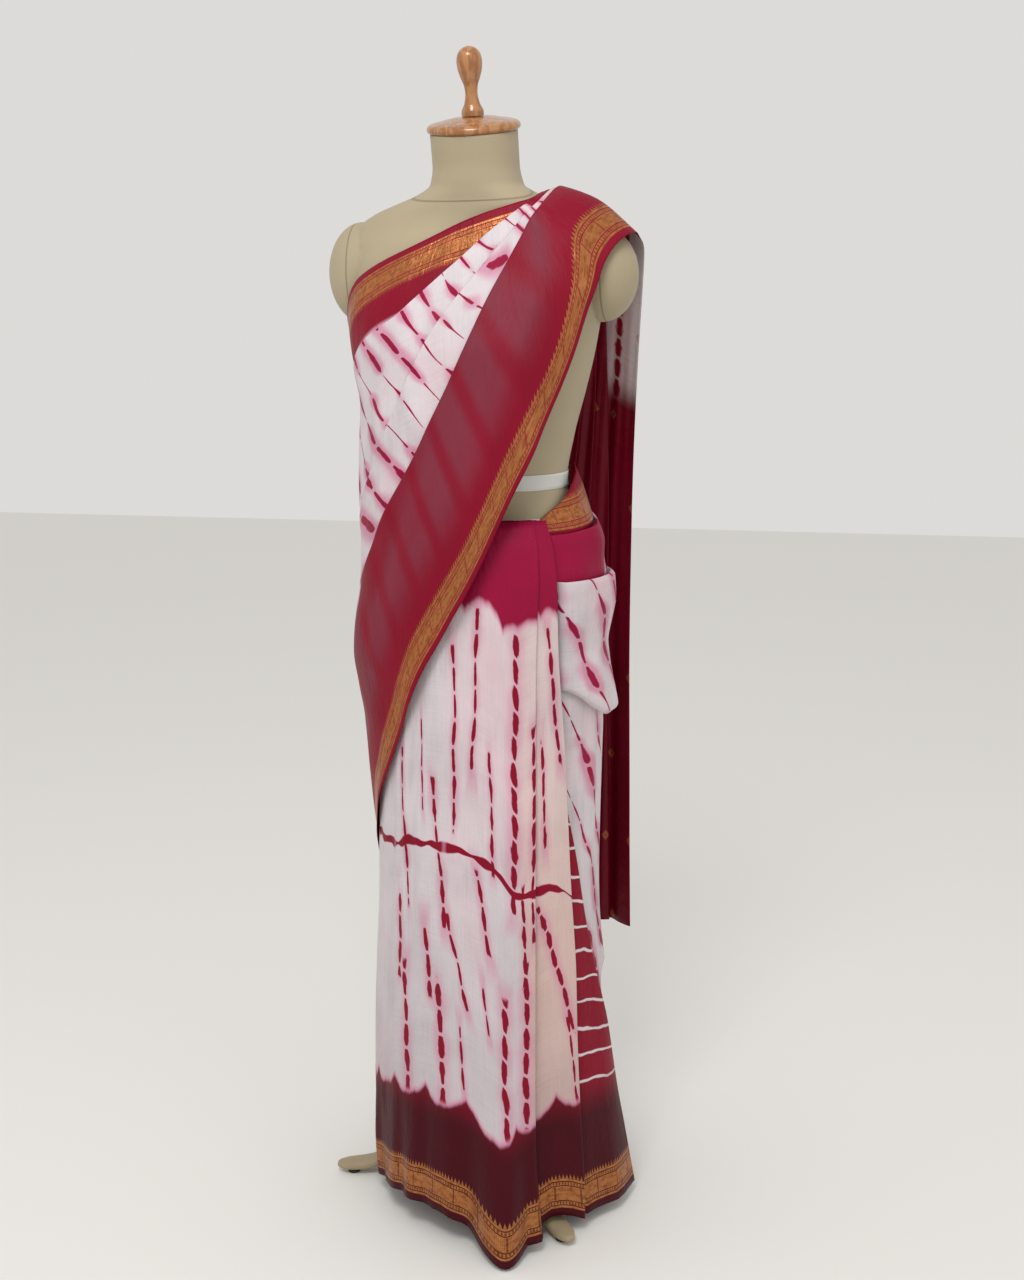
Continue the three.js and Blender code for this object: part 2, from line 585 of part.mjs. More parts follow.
// From the shoulder on the rows are straight: inner and outer edge points of the folded cloth
const FALL_ROWS = [
  { s: 9, inX: 92, inY: -4, inZ: 1403, outX: 210, outY: 2, outZ: 1345, bow: 9, a: 0.04, b: 0.08, c: 0.12, tuck: 0.3 },
  { s: 10, inX: 95, inY: 52, inZ: 1397, outX: 206, outY: 66, outZ: 1330, bow: 9, a: 0.04, b: 0.08, c: 0.13, tuck: 0.3 },
  { s: 11, inX: 86, inY: 104, inZ: 1330, outX: 196, outY: 114, outZ: 1270, bow: 6, a: 0.05, b: 0.12, c: 0.2, tuck: 0.3 },
  { s: 12, inX: 66, inY: 134, inZ: 1208, outX: 184, outY: 146, outZ: 1155, bow: 3, a: 0.09, b: 0.2, c: 0.32, tuck: 0.3 },
  { s: 13, inX: 34, inY: 152, inZ: 998, outX: 174, outY: 164, outZ: 960, bow: 2, a: 0.14, b: 0.32, c: 0.5, tuck: 0.24 },
  { s: 14, inX: 4, inY: 164, inZ: 738, outX: 169, outY: 176, outZ: 708, bow: 2, a: 0.18, b: 0.4, c: 0.62, tuck: 0.16 },
  { s: 15, inX: -20, inY: 170, inZ: 528, outX: 169, outY: 182, outZ: 505, bow: 2, a: 0.2, b: 0.44, c: 0.68, tuck: 0.13 },
  { s: 16, inX: -34, inY: 172, inZ: 344, outX: 170, outY: 184, outZ: 326, bow: 2, a: 0.22, b: 0.46, c: 0.7, tuck: 0.12 },
];
const PLEAT_RISE = 1.9;

// Stops across the folded sheet: fraction of the width and number of layers below
function foldStops(row) {
  const stops = [];
  const run = (from, to, layer, parts) => {
    for (let i = 0; i <= parts; i += 1) stops.push({ t: mix(from, to, i / parts), layer });
  };
  const starts = [0, row.a, row.b, row.c];
  starts.forEach((start, k) => {
    if (k === 3) {
      const parts = 5;
      steps(0, 1, parts).forEach((v) => stops.push({ t: mix(start, 1, v), layer: mix(6, row.hem, smooth(0.35, 1, v)) }));
      return;
    }
    const under = Math.min(starts[k + 1] + row.tuck, 0.985);
    run(start, under, 2 * k, 3);
    stops.push({ t: under + row.bend, layer: 2 * k + 0.5, end: true });
    run(under, starts[k + 1], 2 * k + 1, 2);
    stops.push({ t: starts[k + 1] - row.bend, layer: 2 * k + 1.5, end: true });
  });
  return stops;
}

function chestPoint(s, stopIndex) {
  const row = Object.fromEntries(['upAngle', 'upZ', 'lowAngle', 'lowZ', 'a', 'b', 'c', 'tuck', 'rise', 'hem']
    .map((column) => [column, curve(CHEST_ROWS, column, s, 's')]));
  row.bend = 0.0022;
  const { t, layer } = foldStops(row)[stopIndex];
  const angle = mix(row.upAngle, row.lowAngle, t);
  const z = mix(row.upZ, row.lowZ, t);
  const base = Math.max(ovalOf(DRAPE_ROWS, angle, z), formRadius(angle, z) + 3);
  return around(angle, base + PLEAT_RISE * row.rise * layer, z);
}

function fallPoint(s, stopIndex) {
  const row = Object.fromEntries(Object.keys(FALL_ROWS[0]).filter((column) => column !== 's')
    .map((column) => [column, curve(FALL_ROWS, column, s, 's')]));
  row.bend = 0.012;
  row.hem = 2;
  const { t, layer } = foldStops(row)[stopIndex];
  const inner = new THREE.Vector3(row.inX, row.inY, row.inZ);
  const outer = new THREE.Vector3(row.outX, row.outY, row.outZ);
  const ahead = new THREE.Vector3(
    0,
    curve(FALL_ROWS, 'inY', s + 0.1, 's') - curve(FALL_ROWS, 'inY', s - 0.1, 's'),
    curve(FALL_ROWS, 'inZ', s + 0.1, 's') - curve(FALL_ROWS, 'inZ', s - 0.1, 's'),
  ).normalize();
  const out = outer.clone().sub(inner).normalize().cross(ahead).normalize();
  const gape = 1 + 1.6 * smooth(11, 14, s);
  return inner.lerp(outer, t).addScaledVector(out, PLEAT_RISE * gape * layer + 4 * row.bow * t * (1 - t));
}

const HANDOVER = { from: 8, to: 9 };

function sheetPoint(s, stopIndex) {
  if (s <= HANDOVER.from) return chestPoint(s, stopIndex);
  if (s >= HANDOVER.to) return fallPoint(s, stopIndex);
  const p0 = chestPoint(HANDOVER.from, stopIndex);
  const p1 = fallPoint(HANDOVER.to, stopIndex);
  const d0 = p0.clone().sub(chestPoint(HANDOVER.from - 0.05, stopIndex)).divideScalar(0.05);
  const d1 = fallPoint(HANDOVER.to + 0.05, stopIndex).sub(p1).divideScalar(0.05);
  const t = s - HANDOVER.from;
  const t2 = t * t;
  const t3 = t2 * t;
  return p0.clone().multiplyScalar(2 * t3 - 3 * t2 + 1).addScaledVector(d0, t3 - 2 * t2 + t)
    .addScaledVector(p1, 3 * t2 - 2 * t3).addScaledVector(d1, t3 - t2);
}

function upperSheet() {
  const count = foldStops(FALL_ROWS[0]).length;
  const strip = (stations) => wall(stations.map((s) => Array.from({ length: count }, (_, k) => sheetPoint(s, k))));
  const shoulder = 9.5;
  add('chest_drape', strip(steps(0, 8, 17).concat([8.33, 8.67, 9, shoulder])), 'silk');
  add('pallu_fall', strip([shoulder + 0.01, 10, 10.5, 11, 11.5, 12, 12.5, 13, 13.5, 14, 15, 16]), 'silk');
}

torso();
waistTape();
capAndFinial();
stand();
skirtWrap();
frontPleats();
hipFall();
hipBand();
hipCollar();
backWrap();
upperSheet();

// Set the origin on the floor under the middle of the whole object
const box = new THREE.Box3().setFromObject(model);
model.position.set(-(box.min.x + box.max.x) / 2, -(box.min.y + box.max.y) / 2, -box.min.z);

export default model;
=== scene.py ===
# Looks of a silk saree draped on a limbless dress form that stands on a tripod.
# Shapes are in millimetres until a mesh is made. Angles are in degrees from the front, positive
# towards the form's left. Places on the cloth and lengths in a shader are in metres.
import math
from functools import partialmethod
import bpy
import numpy as np
from mathutils import Matrix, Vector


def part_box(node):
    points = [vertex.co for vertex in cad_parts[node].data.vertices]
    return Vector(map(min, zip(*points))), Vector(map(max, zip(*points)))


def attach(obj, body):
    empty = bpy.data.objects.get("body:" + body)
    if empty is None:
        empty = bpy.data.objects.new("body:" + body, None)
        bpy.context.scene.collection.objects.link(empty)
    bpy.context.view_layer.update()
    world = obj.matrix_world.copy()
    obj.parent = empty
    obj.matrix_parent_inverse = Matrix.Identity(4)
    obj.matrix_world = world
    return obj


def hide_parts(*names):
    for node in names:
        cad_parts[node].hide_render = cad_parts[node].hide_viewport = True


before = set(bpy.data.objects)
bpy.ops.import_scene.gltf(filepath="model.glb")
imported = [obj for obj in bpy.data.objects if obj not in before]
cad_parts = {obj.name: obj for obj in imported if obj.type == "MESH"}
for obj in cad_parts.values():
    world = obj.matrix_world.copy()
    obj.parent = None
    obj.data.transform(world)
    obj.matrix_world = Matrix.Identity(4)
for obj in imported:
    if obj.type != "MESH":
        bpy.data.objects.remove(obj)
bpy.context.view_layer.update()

# Driving dimensions
FORM_BASE_Z = 720
WAIST_LOW = 950
WAIST_TOP = 986
CLOTH_TOP = WAIST_TOP - 1
SHOULDER_Z = 1330
NECK_BASE_Z = 1414
NECK_TOP_Z = 1480
NECK_LEAN_Y = -18
NECK_LEAN = .2
CLOTH = 1.0
SEAM_GAP = .4
OVAL_POWER = 2.2
TAPE_Z = 1021.5
TAPE_WIDE = 20
TAPE_LIFT = 1.0
HIP_FROM = 53.4
HIP_TO = 112
BACK_TO = 210

# The cloth in metres, and the metres of it to a degree round the body
WIDTH = 1.12
SILK = .0005
SKIRT_SCALE = .0029
PANEL_SCALE = .00288
BACK_SCALE = .0026
BACK_END = BACK_TO * BACK_SCALE

# Tied lines, and how the front panel's own are drawn
LINE_SPACING = .058
DASH = .036
PANEL_LINE = .0045
HEM_LIFT = .03
LINE_END = 60.0

# Woven gold: band in metres, figures and threads to a metre, lattice in radians, motifs in metres
ZARI_MARGIN = .011
ZARI_WIDTH = .041
BEADS = 300
TEETH = 240
BLOCKS = 33
LATTICE = 1900
THREADS = 900
MOTIF_ALONG = .13
MOTIF_ACROSS = .075

# Seams of the form's cover, in metres
ARM_SEAM_X = .171
NECK_SEAM_Z = 1.408
NECK_SEAM_SLOPE = .3

MAROON = (.23, .002, .018, 1)
CRIMSON = (.29, .003, .04, 1)
# Dark wine: partly a deeper dye, partly painted shade that darkens the maroon towards the hem
WINE_AND_SHADE = (.058, .001, .006, 1)
PALE = (.65, .585, .61, 1)
PEACH = (.66, .43, .36, 1)
BLUSH = (.68, .48, .52, 1)
# Greyer pale: random grey tone in the ground, and painted shade low on the front panel
GREY_AND_SHADE = (.43, .385, .405, 1)
PINK = (.6, .23, .35, 1)
MAUVE = (.19, .045, .07, 1)
GOLD = (.46, .185, .062, 1)
# Darker copy of the gold: the painted shade between the band's painted glints
GOLD_SHADE = (.24, .065, .016, 1)
CANVAS = (.33, .275, .175, 1), (.47, .39, .26, 1)
SEAM_BROWN = (.16, .12, .07, 1)
WOOD = (.3, .115, .034, 1), (.43, .195, .07, 1)
PAINT = (.24, .19, .11, 1), (.42, .34, .21, 1)
RUBBER = (.012, .012, .012, 1), (.04, .038, .035, 1)
TAPE = (.62, .62, .58, 1), (.8, .8, .77, 1)
FLOOR = (.86, .85, .82, 1)
DAYLIGHT = (1.0, .985, .96, 1)
DAYLIGHT_STRENGTH = .72
AIM_HEIGHT = 1.1

# Lights: azimuth, elevation, metres away, size and watts
LIGHTS = ((4, 46, 2.5, .9, 30), (62, 18, 3.6, 2, 6), (-70, 20, 3.8, 2, 4))

# Camera: degrees, metres from the pole, pixels
CAMERA = dict(azimuth=15, pitch=11.68, roll=-.617, away=2.2, height=1.26, aside=.0374)
FOCAL_LENGTH = 1620.8
FRAME_HEIGHT = 1280
SENSOR = 36


def table(names, rows):
    values = np.array(rows, float)
    return {name: values[:, i] for i, name in enumerate(names.split())}


# Outlines by height
FORM = table("z side front back y", [
    (720, 136, 98, 112, 0), (800, 146, 104, 124, 0), (880, 143, 104, 112, 0),
    (960, 130, 97, 91, 0), (1031, 116, 90, 80, 0), (1090, 126, 98, 86, 0),
    (1150, 142, 112, 96, 0), (1200, 154, 120, 104, 0), (1250, 163, 112, 110, 0),
    (1300, 171, 92, 112, 0), (1340, 176, 72, 104, 0), (1362, 168, 60, 94, 0),
    (1380, 140, 56, 84, -2), (1392, 108, 56, 76, -3), (1402, 80, 57, 68, -4),
    (NECK_BASE_Z, 61, 57, 61, -6), (1440, 56, 56, 56, -10), (NECK_TOP_Z, 56, 56, 56, NECK_LEAN_Y)])
BUST = dict(angle=33, z=1195, depth=16, spread=20, height=55)
ARM_CAPS = (((165, 4, 1297), (47, 51, 60)), ((-163, 4, 1304), (47, 51, 67)))
SKIRT = table("z left right front back", [
    (8, 186, 156, 138, 152), (105, 174, 166, 135, 148), (264, 158, 162, 132, 143),
    (352, 152, 157, 130, 140), (472, 150, 150, 126, 138), (600, 153, 149, 120, 136),
    (720, 157, 149, 114, 134), (820, 158, 156, 110, 131), (900, 154, 149, 109, 119),
    (960, 138, 137, 103, 99), (1000, 131, 130, 99, 92)])
DRAPE = table("z left right front back", [
    (340, 172, 159, 134, 154), (472, 168, 156, 136, 151), (582, 170, 156, 138, 149),
    (700, 172, 157, 141, 147), (750, 173, 163, 142, 146), (800, 174, 171, 144, 144),
    (880, 171, 163, 147, 137), (950, 165, 158, 147, 129), (1000, 160, 163, 147, 124),
    (1066, 154, 160, 145, 118), (1130, 160, 158, 143, 117), (1195, 172, 172, 140, 120),
    (1250, 188, 181, 126, 122), (1300, 206, 184, 103, 120), (1340, 204, 184, 80, 112),
    (1370, 180, 170, 66, 98), (1390, 140, 140, 62, 84), (1402, 110, 110, 62, 76)])
LEG_ANGLES = (-76.6, 43.4, 163.4)
LEG = table("out z wide tall", [
    (34.4, 136, 26, 40), (62, 122, 26, 34), (98, 80, 26, 30), (134, 38, 27, 25),
    (164, 17, 29, 20), (190, 10, 31, 15), (212, 8, 28, 13), (225, 7.5, 18, 10),
    (230, 7.5, 9, 6)])
LEG_ROUND = .75
PAD_HEIGHT = 4
LEG_CLEAR = 6
LEG_RISE = 1.25
LEG_SPREAD = 15

# Front pleats: angle of each fold by height, depth in degrees, lift of each layer
PLEAT_EDGES = table("z e1 e2 e3 e4 e5", [
    (16, 27.5, 52, 89, 50, 46), (100, 29.5, 53.5, 88, 50, 46), (160, 31, 54, 86, 50, 46),
    (260, 33, 55, 81, 50, 46), (385, 35, 56.5, 71, 50, 46), (500, 36.6, 55.5, 63, 50, 46),
    (670, 38.8, 54.2, 53, 50, 46), (830, 41, 52, 50.5, 49, 46),
    (985, 44.3, 52.8, 51, 49.5, 47.5)])
PLEAT_DEPTH = (28, 33, 38, 33, 31)
LAST_EDGE = 44.0
LAYER_TOP = 2.3
LAYER_INNER = 4
LAYER_WAIST = 1.65
LAYER_HEM = (66, 53, 43, 36, 29, 24, 19, 15, 11.5, 8, 5)
LAYER_RISE = (-78, 14)
CORNER = dict(angle=19, spread=8, reach=52, top=330)
PANEL_START = -100
PANEL_HEM = table("angle z", [
    (-100, 20), (-68, 24), (-45, 34), (-25, 44), (-8, 43), (5, 31), (13, 14), (19, 4),
    (24, 9), (29, 17), (60, 20), (90, 16)])

# Edges of the cloth at the left hip and over the back
EASE = .35
HIP_START = 54.6
BAND_TOP = table("angle z", [(54, 965), (67, 966), (90, 973), (112, 986)])
COLLAR_TOP = table("angle z", [(54, 984), (70, 1004), (90, 1032), (112, 1056)])
BACK_TOP = table("angle z", [(112, 1056), (150, 1098), (180, 1140), (210, 1185)])
BACK_FOOT = table("angle z", [(112, 335), (150, 352), (180, 366), (210, 376)])

# Upper sheet by station: edges, three folds as fractions of the width, how far they tuck under,
# how much the layers lift, layers at the lower edge
CHEST = table("s up_angle up_z low_angle low_z a b c tuck rise hem", [
    (0, -149.6, 1185, -149.6, 376, .15, .37, .52, .008, .85, 1),
    (1, -118, 1218, -112, 420, .15, .38, .53, .02, .85, 1),
    (2, -85, 1231, -80, 482, .15, .4, .55, .03, .9, 1),
    (3, -64, 1298, -43, 647, .16, .44, .58, .04, 1, 1.5),
    (4, -40, 1336, -18, 784, .17, .39, .56, .05, 1, 3),
    (5, -10, 1361, 9, 905, .125, .25, .45, .06, 1, 5),
    (6, 18, 1374, 31, 1033, .087, .175, .287, .1, 1, 6),
    (7, 40, 1383, 52, 1149, .06, .124, .185, .2, 1, 4),
    (8, 56, 1391, 70, 1294, .035, .08, .12, .3, .85, 2)])
FALL = table("s in_x in_y in_z out_x out_y out_z bow a b c tuck", [
    (9, 92, -4, 1403, 210, 2, 1345, 9, .04, .08, .12, .3),
    (10, 95, 52, 1397, 206, 66, 1330, 9, .04, .08, .13, .3),
    (11, 86, 104, 1330, 196, 114, 1270, 6, .05, .12, .2, .3),
    (12, 66, 134, 1208, 184, 146, 1155, 3, .09, .2, .32, .3),
    (13, 34, 152, 998, 174, 164, 960, 2, .14, .32, .5, .24),
    (14, 4, 164, 738, 169, 176, 708, 2, .18, .4, .62, .16),
    (15, -20, 170, 528, 169, 182, 505, 2, .2, .44, .68, .13),
    (16, -34, 172, 344, 170, 184, 326, 2, .22, .46, .7, .12)])
PLEAT_RISE = 1.9
SHOULDER = 9.5
CHEST_BEND = .0022
FALL_BEND = .012

# The front panel's tied lines: angle at the middle, lean in degrees a metre, ends in metres above
# the floor, half width in millimetres
DYE_LINES = table("angle lean low high width", [
    (10.5, 18, .66, .86, 3.6), (29.5, 12, .5, .86, 5.6), (31.5, 6, .4, .52, 4.6),
    (30.3, 12, .15, .41, 4.8), (-1.2, -3, .57, .8, 3.4), (-21, -28, .6, .7, 1.8),
    (-32, -36, .46, .66, 3), (-15, -44, .34, .42, 4.6), (-6.5, -20, .16, .35, 6.2),
    (-33.8, -10, .36, .46, 4.8), (-27.5, -22, .16, .36, 5.6), (-9.5, -44, .44, .62, 4.4),
    (1, -80, .33, .44, 3.2), (3.2, -20, .22, .29, 2.2), (18.1, -2, .54, .68, 3),
    (13, -56, .43, .51, 3.6), (21.6, 5, .16, .36, 4.6), (14, -40, .32, .36, 2),
    (49.3, -24, .68, .84, 3.4), (37.5, 12, .45, .72, 3.8), (43.4, -2, .56, .69, 2.6),
    (47, -80, .3, .47, 4.4), (53, -20, .17, .3, 3.6)])

# Turned wood: radius and height
CAP_PROFILE = (
    (1, 0), (57, 0), (60.5, 2.5), (61, 5), (60, 8), (56, 11), (38, 15), (20, 18), (1, 19))
FINIAL_PROFILE = (
    (1, 0), (14.5, 0), (14.5, 4), (10, 15), (8, 27), (9, 36), (13, 47), (16, 58), (16.5, 66),
    (15, 74), (11, 80), (5, 83.5), (1, 84.5))

# From the frame's middle to the tables' middle, which is the pole
pole_low, pole_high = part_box("pole")
SHIFT = np.array([(pole_low[0] + pole_high[0]) / 2, (pole_low[1] + pole_high[1]) / 2, 0])


def smooth(start, end, x):
    t = np.clip((np.asarray(x, float) - start) / (end - start), 0, 1)
    return t * t * (3 - 2 * t)


def mix(a, b, t):
    return a + (b - a) * t


# Cubic from a to b with the given slopes at its ends
def hermite(a, b, slope_a, slope_b, t):
    return ((2 * t**3 - 3 * t**2 + 1) * a + (t**3 - 2 * t**2 + t) * slope_a
            + (3 * t**2 - 2 * t**3) * b + (t**3 - t**2) * slope_b)


# Smooth, overshoot-free curve through a column of a table
def curve(rows, column, at, key="z"):
    x, y = rows[key], rows[column]
    at = np.clip(np.asarray(at, float), x[0], x[-1])
    slope = np.diff(y) / np.diff(x)
    tangent = np.zeros(len(x))
    tangent[0], tangent[-1] = slope[0], slope[-1]
    same = slope[:-1] * slope[1:] > 0
    total = np.where(same, slope[:-1] + slope[1:], 1)
    tangent[1:-1] = np.where(same, 2 * slope[:-1] * slope[1:] / total, 0)
    i = np.clip(np.searchsorted(x, at, side="right") - 1, 0, len(x) - 2)
    h = x[i + 1] - x[i]
    return hermite(y[i], y[i + 1], h * tangent[i], h * tangent[i + 1], (at - x[i]) / h)


def turned(angle):
    return (np.asarray(angle, float) + 180) % 360 - 180


# Radius of an oval whose four sides have their own reach
def oval(angle, left, right, front, back):
    s, c = np.sin(np.radians(angle)), np.cos(np.radians(angle))
    side, end = np.where(s > 0, left, right), np.where(c > 0, front, back)
    return (np.abs(s / side)**OVAL_POWER + np.abs(c / end)**OVAL_POWER)**(-1 / OVAL_POWER)


def form_radius(angle, z):
    side, front, back = (curve(FORM, column, z) for column in ("side", "front", "back"))
    across = (np.abs(turned(angle)) - BUST["angle"]) / BUST["spread"]
    up = (z - BUST["z"]) / BUST["height"]
    return oval(angle, side, side, front, back) + BUST["depth"] * np.exp(-across**2 - up**2)


def oval_of(rows, angle, z):
    return oval(angle, *(curve(rows, column, z) for column in ("left", "right", "front", "back")))


def skirt_radius(angle, z):
    tight = form_radius(angle, z) + CLOTH / 2 + SEAM_GAP
    return mix(oval_of(SKIRT, angle, z), tight, smooth(WAIST_LOW, WAIST_TOP, z))


def cells(rows, columns):
    return np.meshgrid(rows, columns, indexing="ij")


def ring(count):
    return np.linspace(0, 360, count, endpoint=False)


def around(angle, r, z):
    angle, r, z = np.broadcast_arrays(np.radians(angle), r, np.asarray(z, float))
    return np.stack([r * np.sin(angle), -r * np.cos(angle), z], -1)


# A hem's height, lifted where it crosses a leg
def hem_height(angle, r, plain):
    leg_top = curve(LEG, "z", r, "out") + curve(LEG, "tall", r, "out") / 2 + PAD_HEIGHT
    height = np.asarray(plain, float)
    for leg in LEG_ANGLES:
        off = turned(np.asarray(angle) - leg) / LEG_SPREAD
        over = (leg_top + LEG_CLEAR) * LEG_RISE * np.exp(-off * off)
        height = np.maximum(height, over)
    return height


# A wave round the body: waves in a full turn, slant in degrees a decimetre, and phase
def wave(angle, z, waves, slant, phase):
    return np.cos(np.radians(waves * (angle + slant * z / 100) + phase))


# Soft creases, the same for every layer at one place so that layers never cross
def skirt_crease(angle, z):
    low = smooth(960, 500, z)
    soft = 1.1 * wave(angle, z, 13, .6, 20) + .8 * wave(angle, z, 22, -.5, 130)
    fine = .45 * wave(angle, z, 41, .9, 10) * wave(angle, z, 5, 3, 80)
    hem = 2.2 * wave(angle, z, 19, 0, 60) + 1.4 * wave(angle, z, 31, 0, 0)
    return (soft + fine) * (.35 + .65 * low) + hem * smooth(240, 20, z)


def chest_crease(angle, z):
    pull = .9 * wave(angle, z, 11, -9, 40) + .7 * wave(angle, z, 17, -14, 120)
    cross = .7 * np.sin(z / 17 + angle / 9) * wave(angle, z, 4, 0, 30)
    return (pull + cross) * smooth(1370, 1250, z)


def linked(name, data):
    made = bpy.data.objects.new(name, data)
    bpy.context.scene.collection.objects.link(made)
    return made


def new_object(name, mesh, node, materials):
    piece = linked(name, mesh)
    for material in materials:
        mesh.materials.append(material)
    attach(piece, "root")
    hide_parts(node)
    return piece


def grid_mesh(name, grid, uv=None, looks=None, solid=False):
    rows, cols = grid.shape[:2]
    points = (grid.reshape(-1, 3) / 1000 + SHIFT).astype(np.float32)
    spans = cols if solid else cols - 1
    i, j = cells(np.arange(rows - 1), np.arange(spans))
    k = (j + 1) % cols
    quads = np.stack([i * cols + j, i * cols + k, (i + 1) * cols + k, (i + 1) * cols + j], -1)
    quads = quads.reshape(-1, 4)
    faces = [tuple(q) for q in quads.tolist()]
    if solid:
        faces.append(tuple(range(cols - 1, -1, -1)))
        faces.append(tuple(range((rows - 1) * cols, rows * cols)))
    mesh = bpy.data.meshes.new(name)
    mesh.from_pydata(points.tolist(), [], faces)
    mesh.polygons.foreach_set("use_smooth", [True] * len(faces))
    if uv is not None:
        corners = uv.reshape(-1, 2)[quads.reshape(-1)]
        layer = mesh.uv_layers.new(name="cloth")
        layer.data.foreach_set("uv", corners.astype(np.float32).ravel())
    if looks is not None:
        store = mesh.attributes.new("look", "FLOAT", "POINT")
        store.data.foreach_set("value", looks.astype(np.float32).ravel())
    mesh.update()
    return mesh


# A sheet of silk; looks choose between the two looks of its material
def cloth_piece(node, grid, uv, materials, looks=0.0):
    mesh = grid_mesh(node, grid, uv, np.broadcast_to(looks, grid.shape[:2]))
    piece = new_object(node + "_silk", mesh, node, materials)
    shell = piece.modifiers.new("thickness", "SOLIDIFY")
    shell.thickness = SILK
    shell.offset = 0
    shell.material_offset = len(materials) - 1
    return piece


# Length run along a grid so far, in metres
def lengths(grid, axis):
    step = np.linalg.norm(np.diff(grid, axis=axis), axis=-1)
    zero = np.zeros_like(np.take(step, [0], axis))
    return np.concatenate([zero, np.cumsum(step, axis)], axis) / 1000


# Shader building
class Shader:
    def __init__(self, name):
        self.material = bpy.data.materials.new(name)
        self.material.use_nodes = True
        self.tree = self.material.node_tree
        self.tree.nodes.clear()

    def put(self, value, socket):
        if isinstance(value, bpy.types.NodeSocket):
            self.tree.links.new(value, socket)
        else:
            socket.default_value = value

    def node(self, kind, inputs=(), **settings):
        made = self.tree.nodes.new("ShaderNode" + kind)
        for key, value in settings.items():
            setattr(made, key, value)
        pairs = inputs.items() if isinstance(inputs, dict) else enumerate(inputs)
        for key, value in pairs:
            self.put(value, made.inputs[key])
        return made

    def math(self, operation, *values):
        return self.node("Math", values, operation=operation).outputs[0]

    add = partialmethod(math, "ADD")
    sub = partialmethod(math, "SUBTRACT")
    mul = partialmethod(math, "MULTIPLY")
    ratio = partialmethod(math, "DIVIDE")
    larger = partialmethod(math, "MAXIMUM")
    smaller = partialmethod(math, "MINIMUM")
    frac = partialmethod(math, "FRACT")
    sine = partialmethod(math, "SINE")

    def apart(self, a, b):
        return self.math("ABSOLUTE", self.sub(a, b))

    # How far a value is from the middle between two whole numbers
    def beat(self, a):
        return self.apart(self.frac(a), .5)

    def step(self, value, low, high, start=0.0, end=1.0):
        ins = {"Value": value, "From Min": low, "From Max": high, "To Min": start, "To Max": end}
        return self.node("MapRange", ins, interpolation_type="SMOOTHSTEP").outputs[0]

    def fall(self, value, low, high):
        return self.step(value, low, high, 1, 0)

    def window(self, value, low, high, soft):
        inside = self.step(value, self.sub(low, soft), self.add(low, soft))
        return self.mul(inside, self.fall(value, self.sub(high, soft), self.add(high, soft)))

    def blend(self, amount, a, b):
        made = self.node("Mix", data_type="RGBA")
        self.put(amount, made.inputs[0])
        self.put(a, made.inputs[6])
        self.put(b, made.inputs[7])
        return made.outputs[2]

    def shade(self, colour, amount):
        made = self.node("VectorMath", operation="SCALE")
        self.put(colour[:3] if isinstance(colour, tuple) else colour, made.inputs[0])
        self.put(amount, made.inputs["Scale"])
        return made.outputs[0]

    def vector(self, x=0.0, y=0.0, z=0.0):
        return self.node("CombineXYZ", (x, y, z)).outputs[0]

    def noise(self, at, scale, detail=2.0, roughness=.5):
        if isinstance(at, tuple):
            at = self.vector(*at)
        ins = {"Vector": at, "Scale": scale, "Detail": detail, "Roughness": roughness}
        return self.node("TexNoise", ins).outputs[0]

    def sway(self, size, *noise):
        return self.mul(self.sub(self.noise(*noise), .5), size)

    def cloth(self):
        place = self.node("UVMap", uv_map="cloth").outputs[0]
        return self.node("SeparateXYZ", [place]).outputs[:2]

    def place(self):
        return self.node("TexCoord").outputs["Object"]

    def look(self):
        return self.node("Attribute", attribute_name="look").outputs["Fac"]

    def bump(self, height, strength, distance):
        ins = {"Height": height, "Strength": strength, "Distance": distance}
        return self.node("Bump", ins).outputs[0]

    def finish(self, **sockets):
        surface = self.node("BsdfPrincipled")
        for name, value in sockets.items():
            self.put(value, surface.inputs[name.replace("_", " ")])
        output = self.node("OutputMaterial")
        self.tree.links.new(surface.outputs[0], output.inputs[0])
        return self.material


# The woven gold band along an edge: its mask and its colour, speckled with painted glints
def zari(sh, u, edge):
    q = sh.ratio(sh.sub(edge, ZARI_MARGIN), ZARI_WIDTH)
    band = sh.window(q, 0, 1, .02)
    for centre in (.09, .24, .76, .91):
        band = sh.mul(band, sh.step(sh.apart(q, centre), .01, .026))
    beads = sh.step(sh.beat(sh.mul(u, BEADS)), .15, .35)
    rows = sh.add(sh.window(q, .12, .21, .01), sh.window(q, .79, .88, .01))
    band = sh.mul(band, sh.sub(1, sh.mul(sh.mul(rows, beads), .75)))
    middle = sh.window(q, .27, .73, .01)
    wander = sh.sway(.6, (u,), 25, 1)
    block = sh.beat(sh.add(sh.mul(u, BLOCKS), wander))
    joint = sh.mul(sh.step(block, .455, .49, 0, .75), middle)
    rising = sh.sine(sh.mul(sh.add(u, edge), LATTICE))
    falling = sh.sine(sh.mul(sh.sub(u, edge), LATTICE))
    lattice = sh.mul(rising, falling)
    leaf = sh.mul(sh.step(lattice, .15, .5), sh.mul(middle, .42))
    band = sh.mul(band, sh.sub(1, sh.larger(joint, leaf)))
    teeth = sh.beat(sh.mul(u, TEETH))
    height = sh.step(sh.sub(q, 1), 0, .17, .36, .04)
    tooth = sh.fall(teeth, sh.sub(height, .08), sh.add(height, .05))
    band = sh.larger(band, sh.mul(sh.mul(tooth, .8), sh.window(q, 1, 1.17, .02)))
    # Painted glints: noise speckles the band between lit gold and its darker copy
    glint = sh.noise((u, sh.mul(edge, 1.6)), 110, 4, .75)
    return band, sh.blend(sh.step(glint, .3, .6), GOLD_SHADE, GOLD)


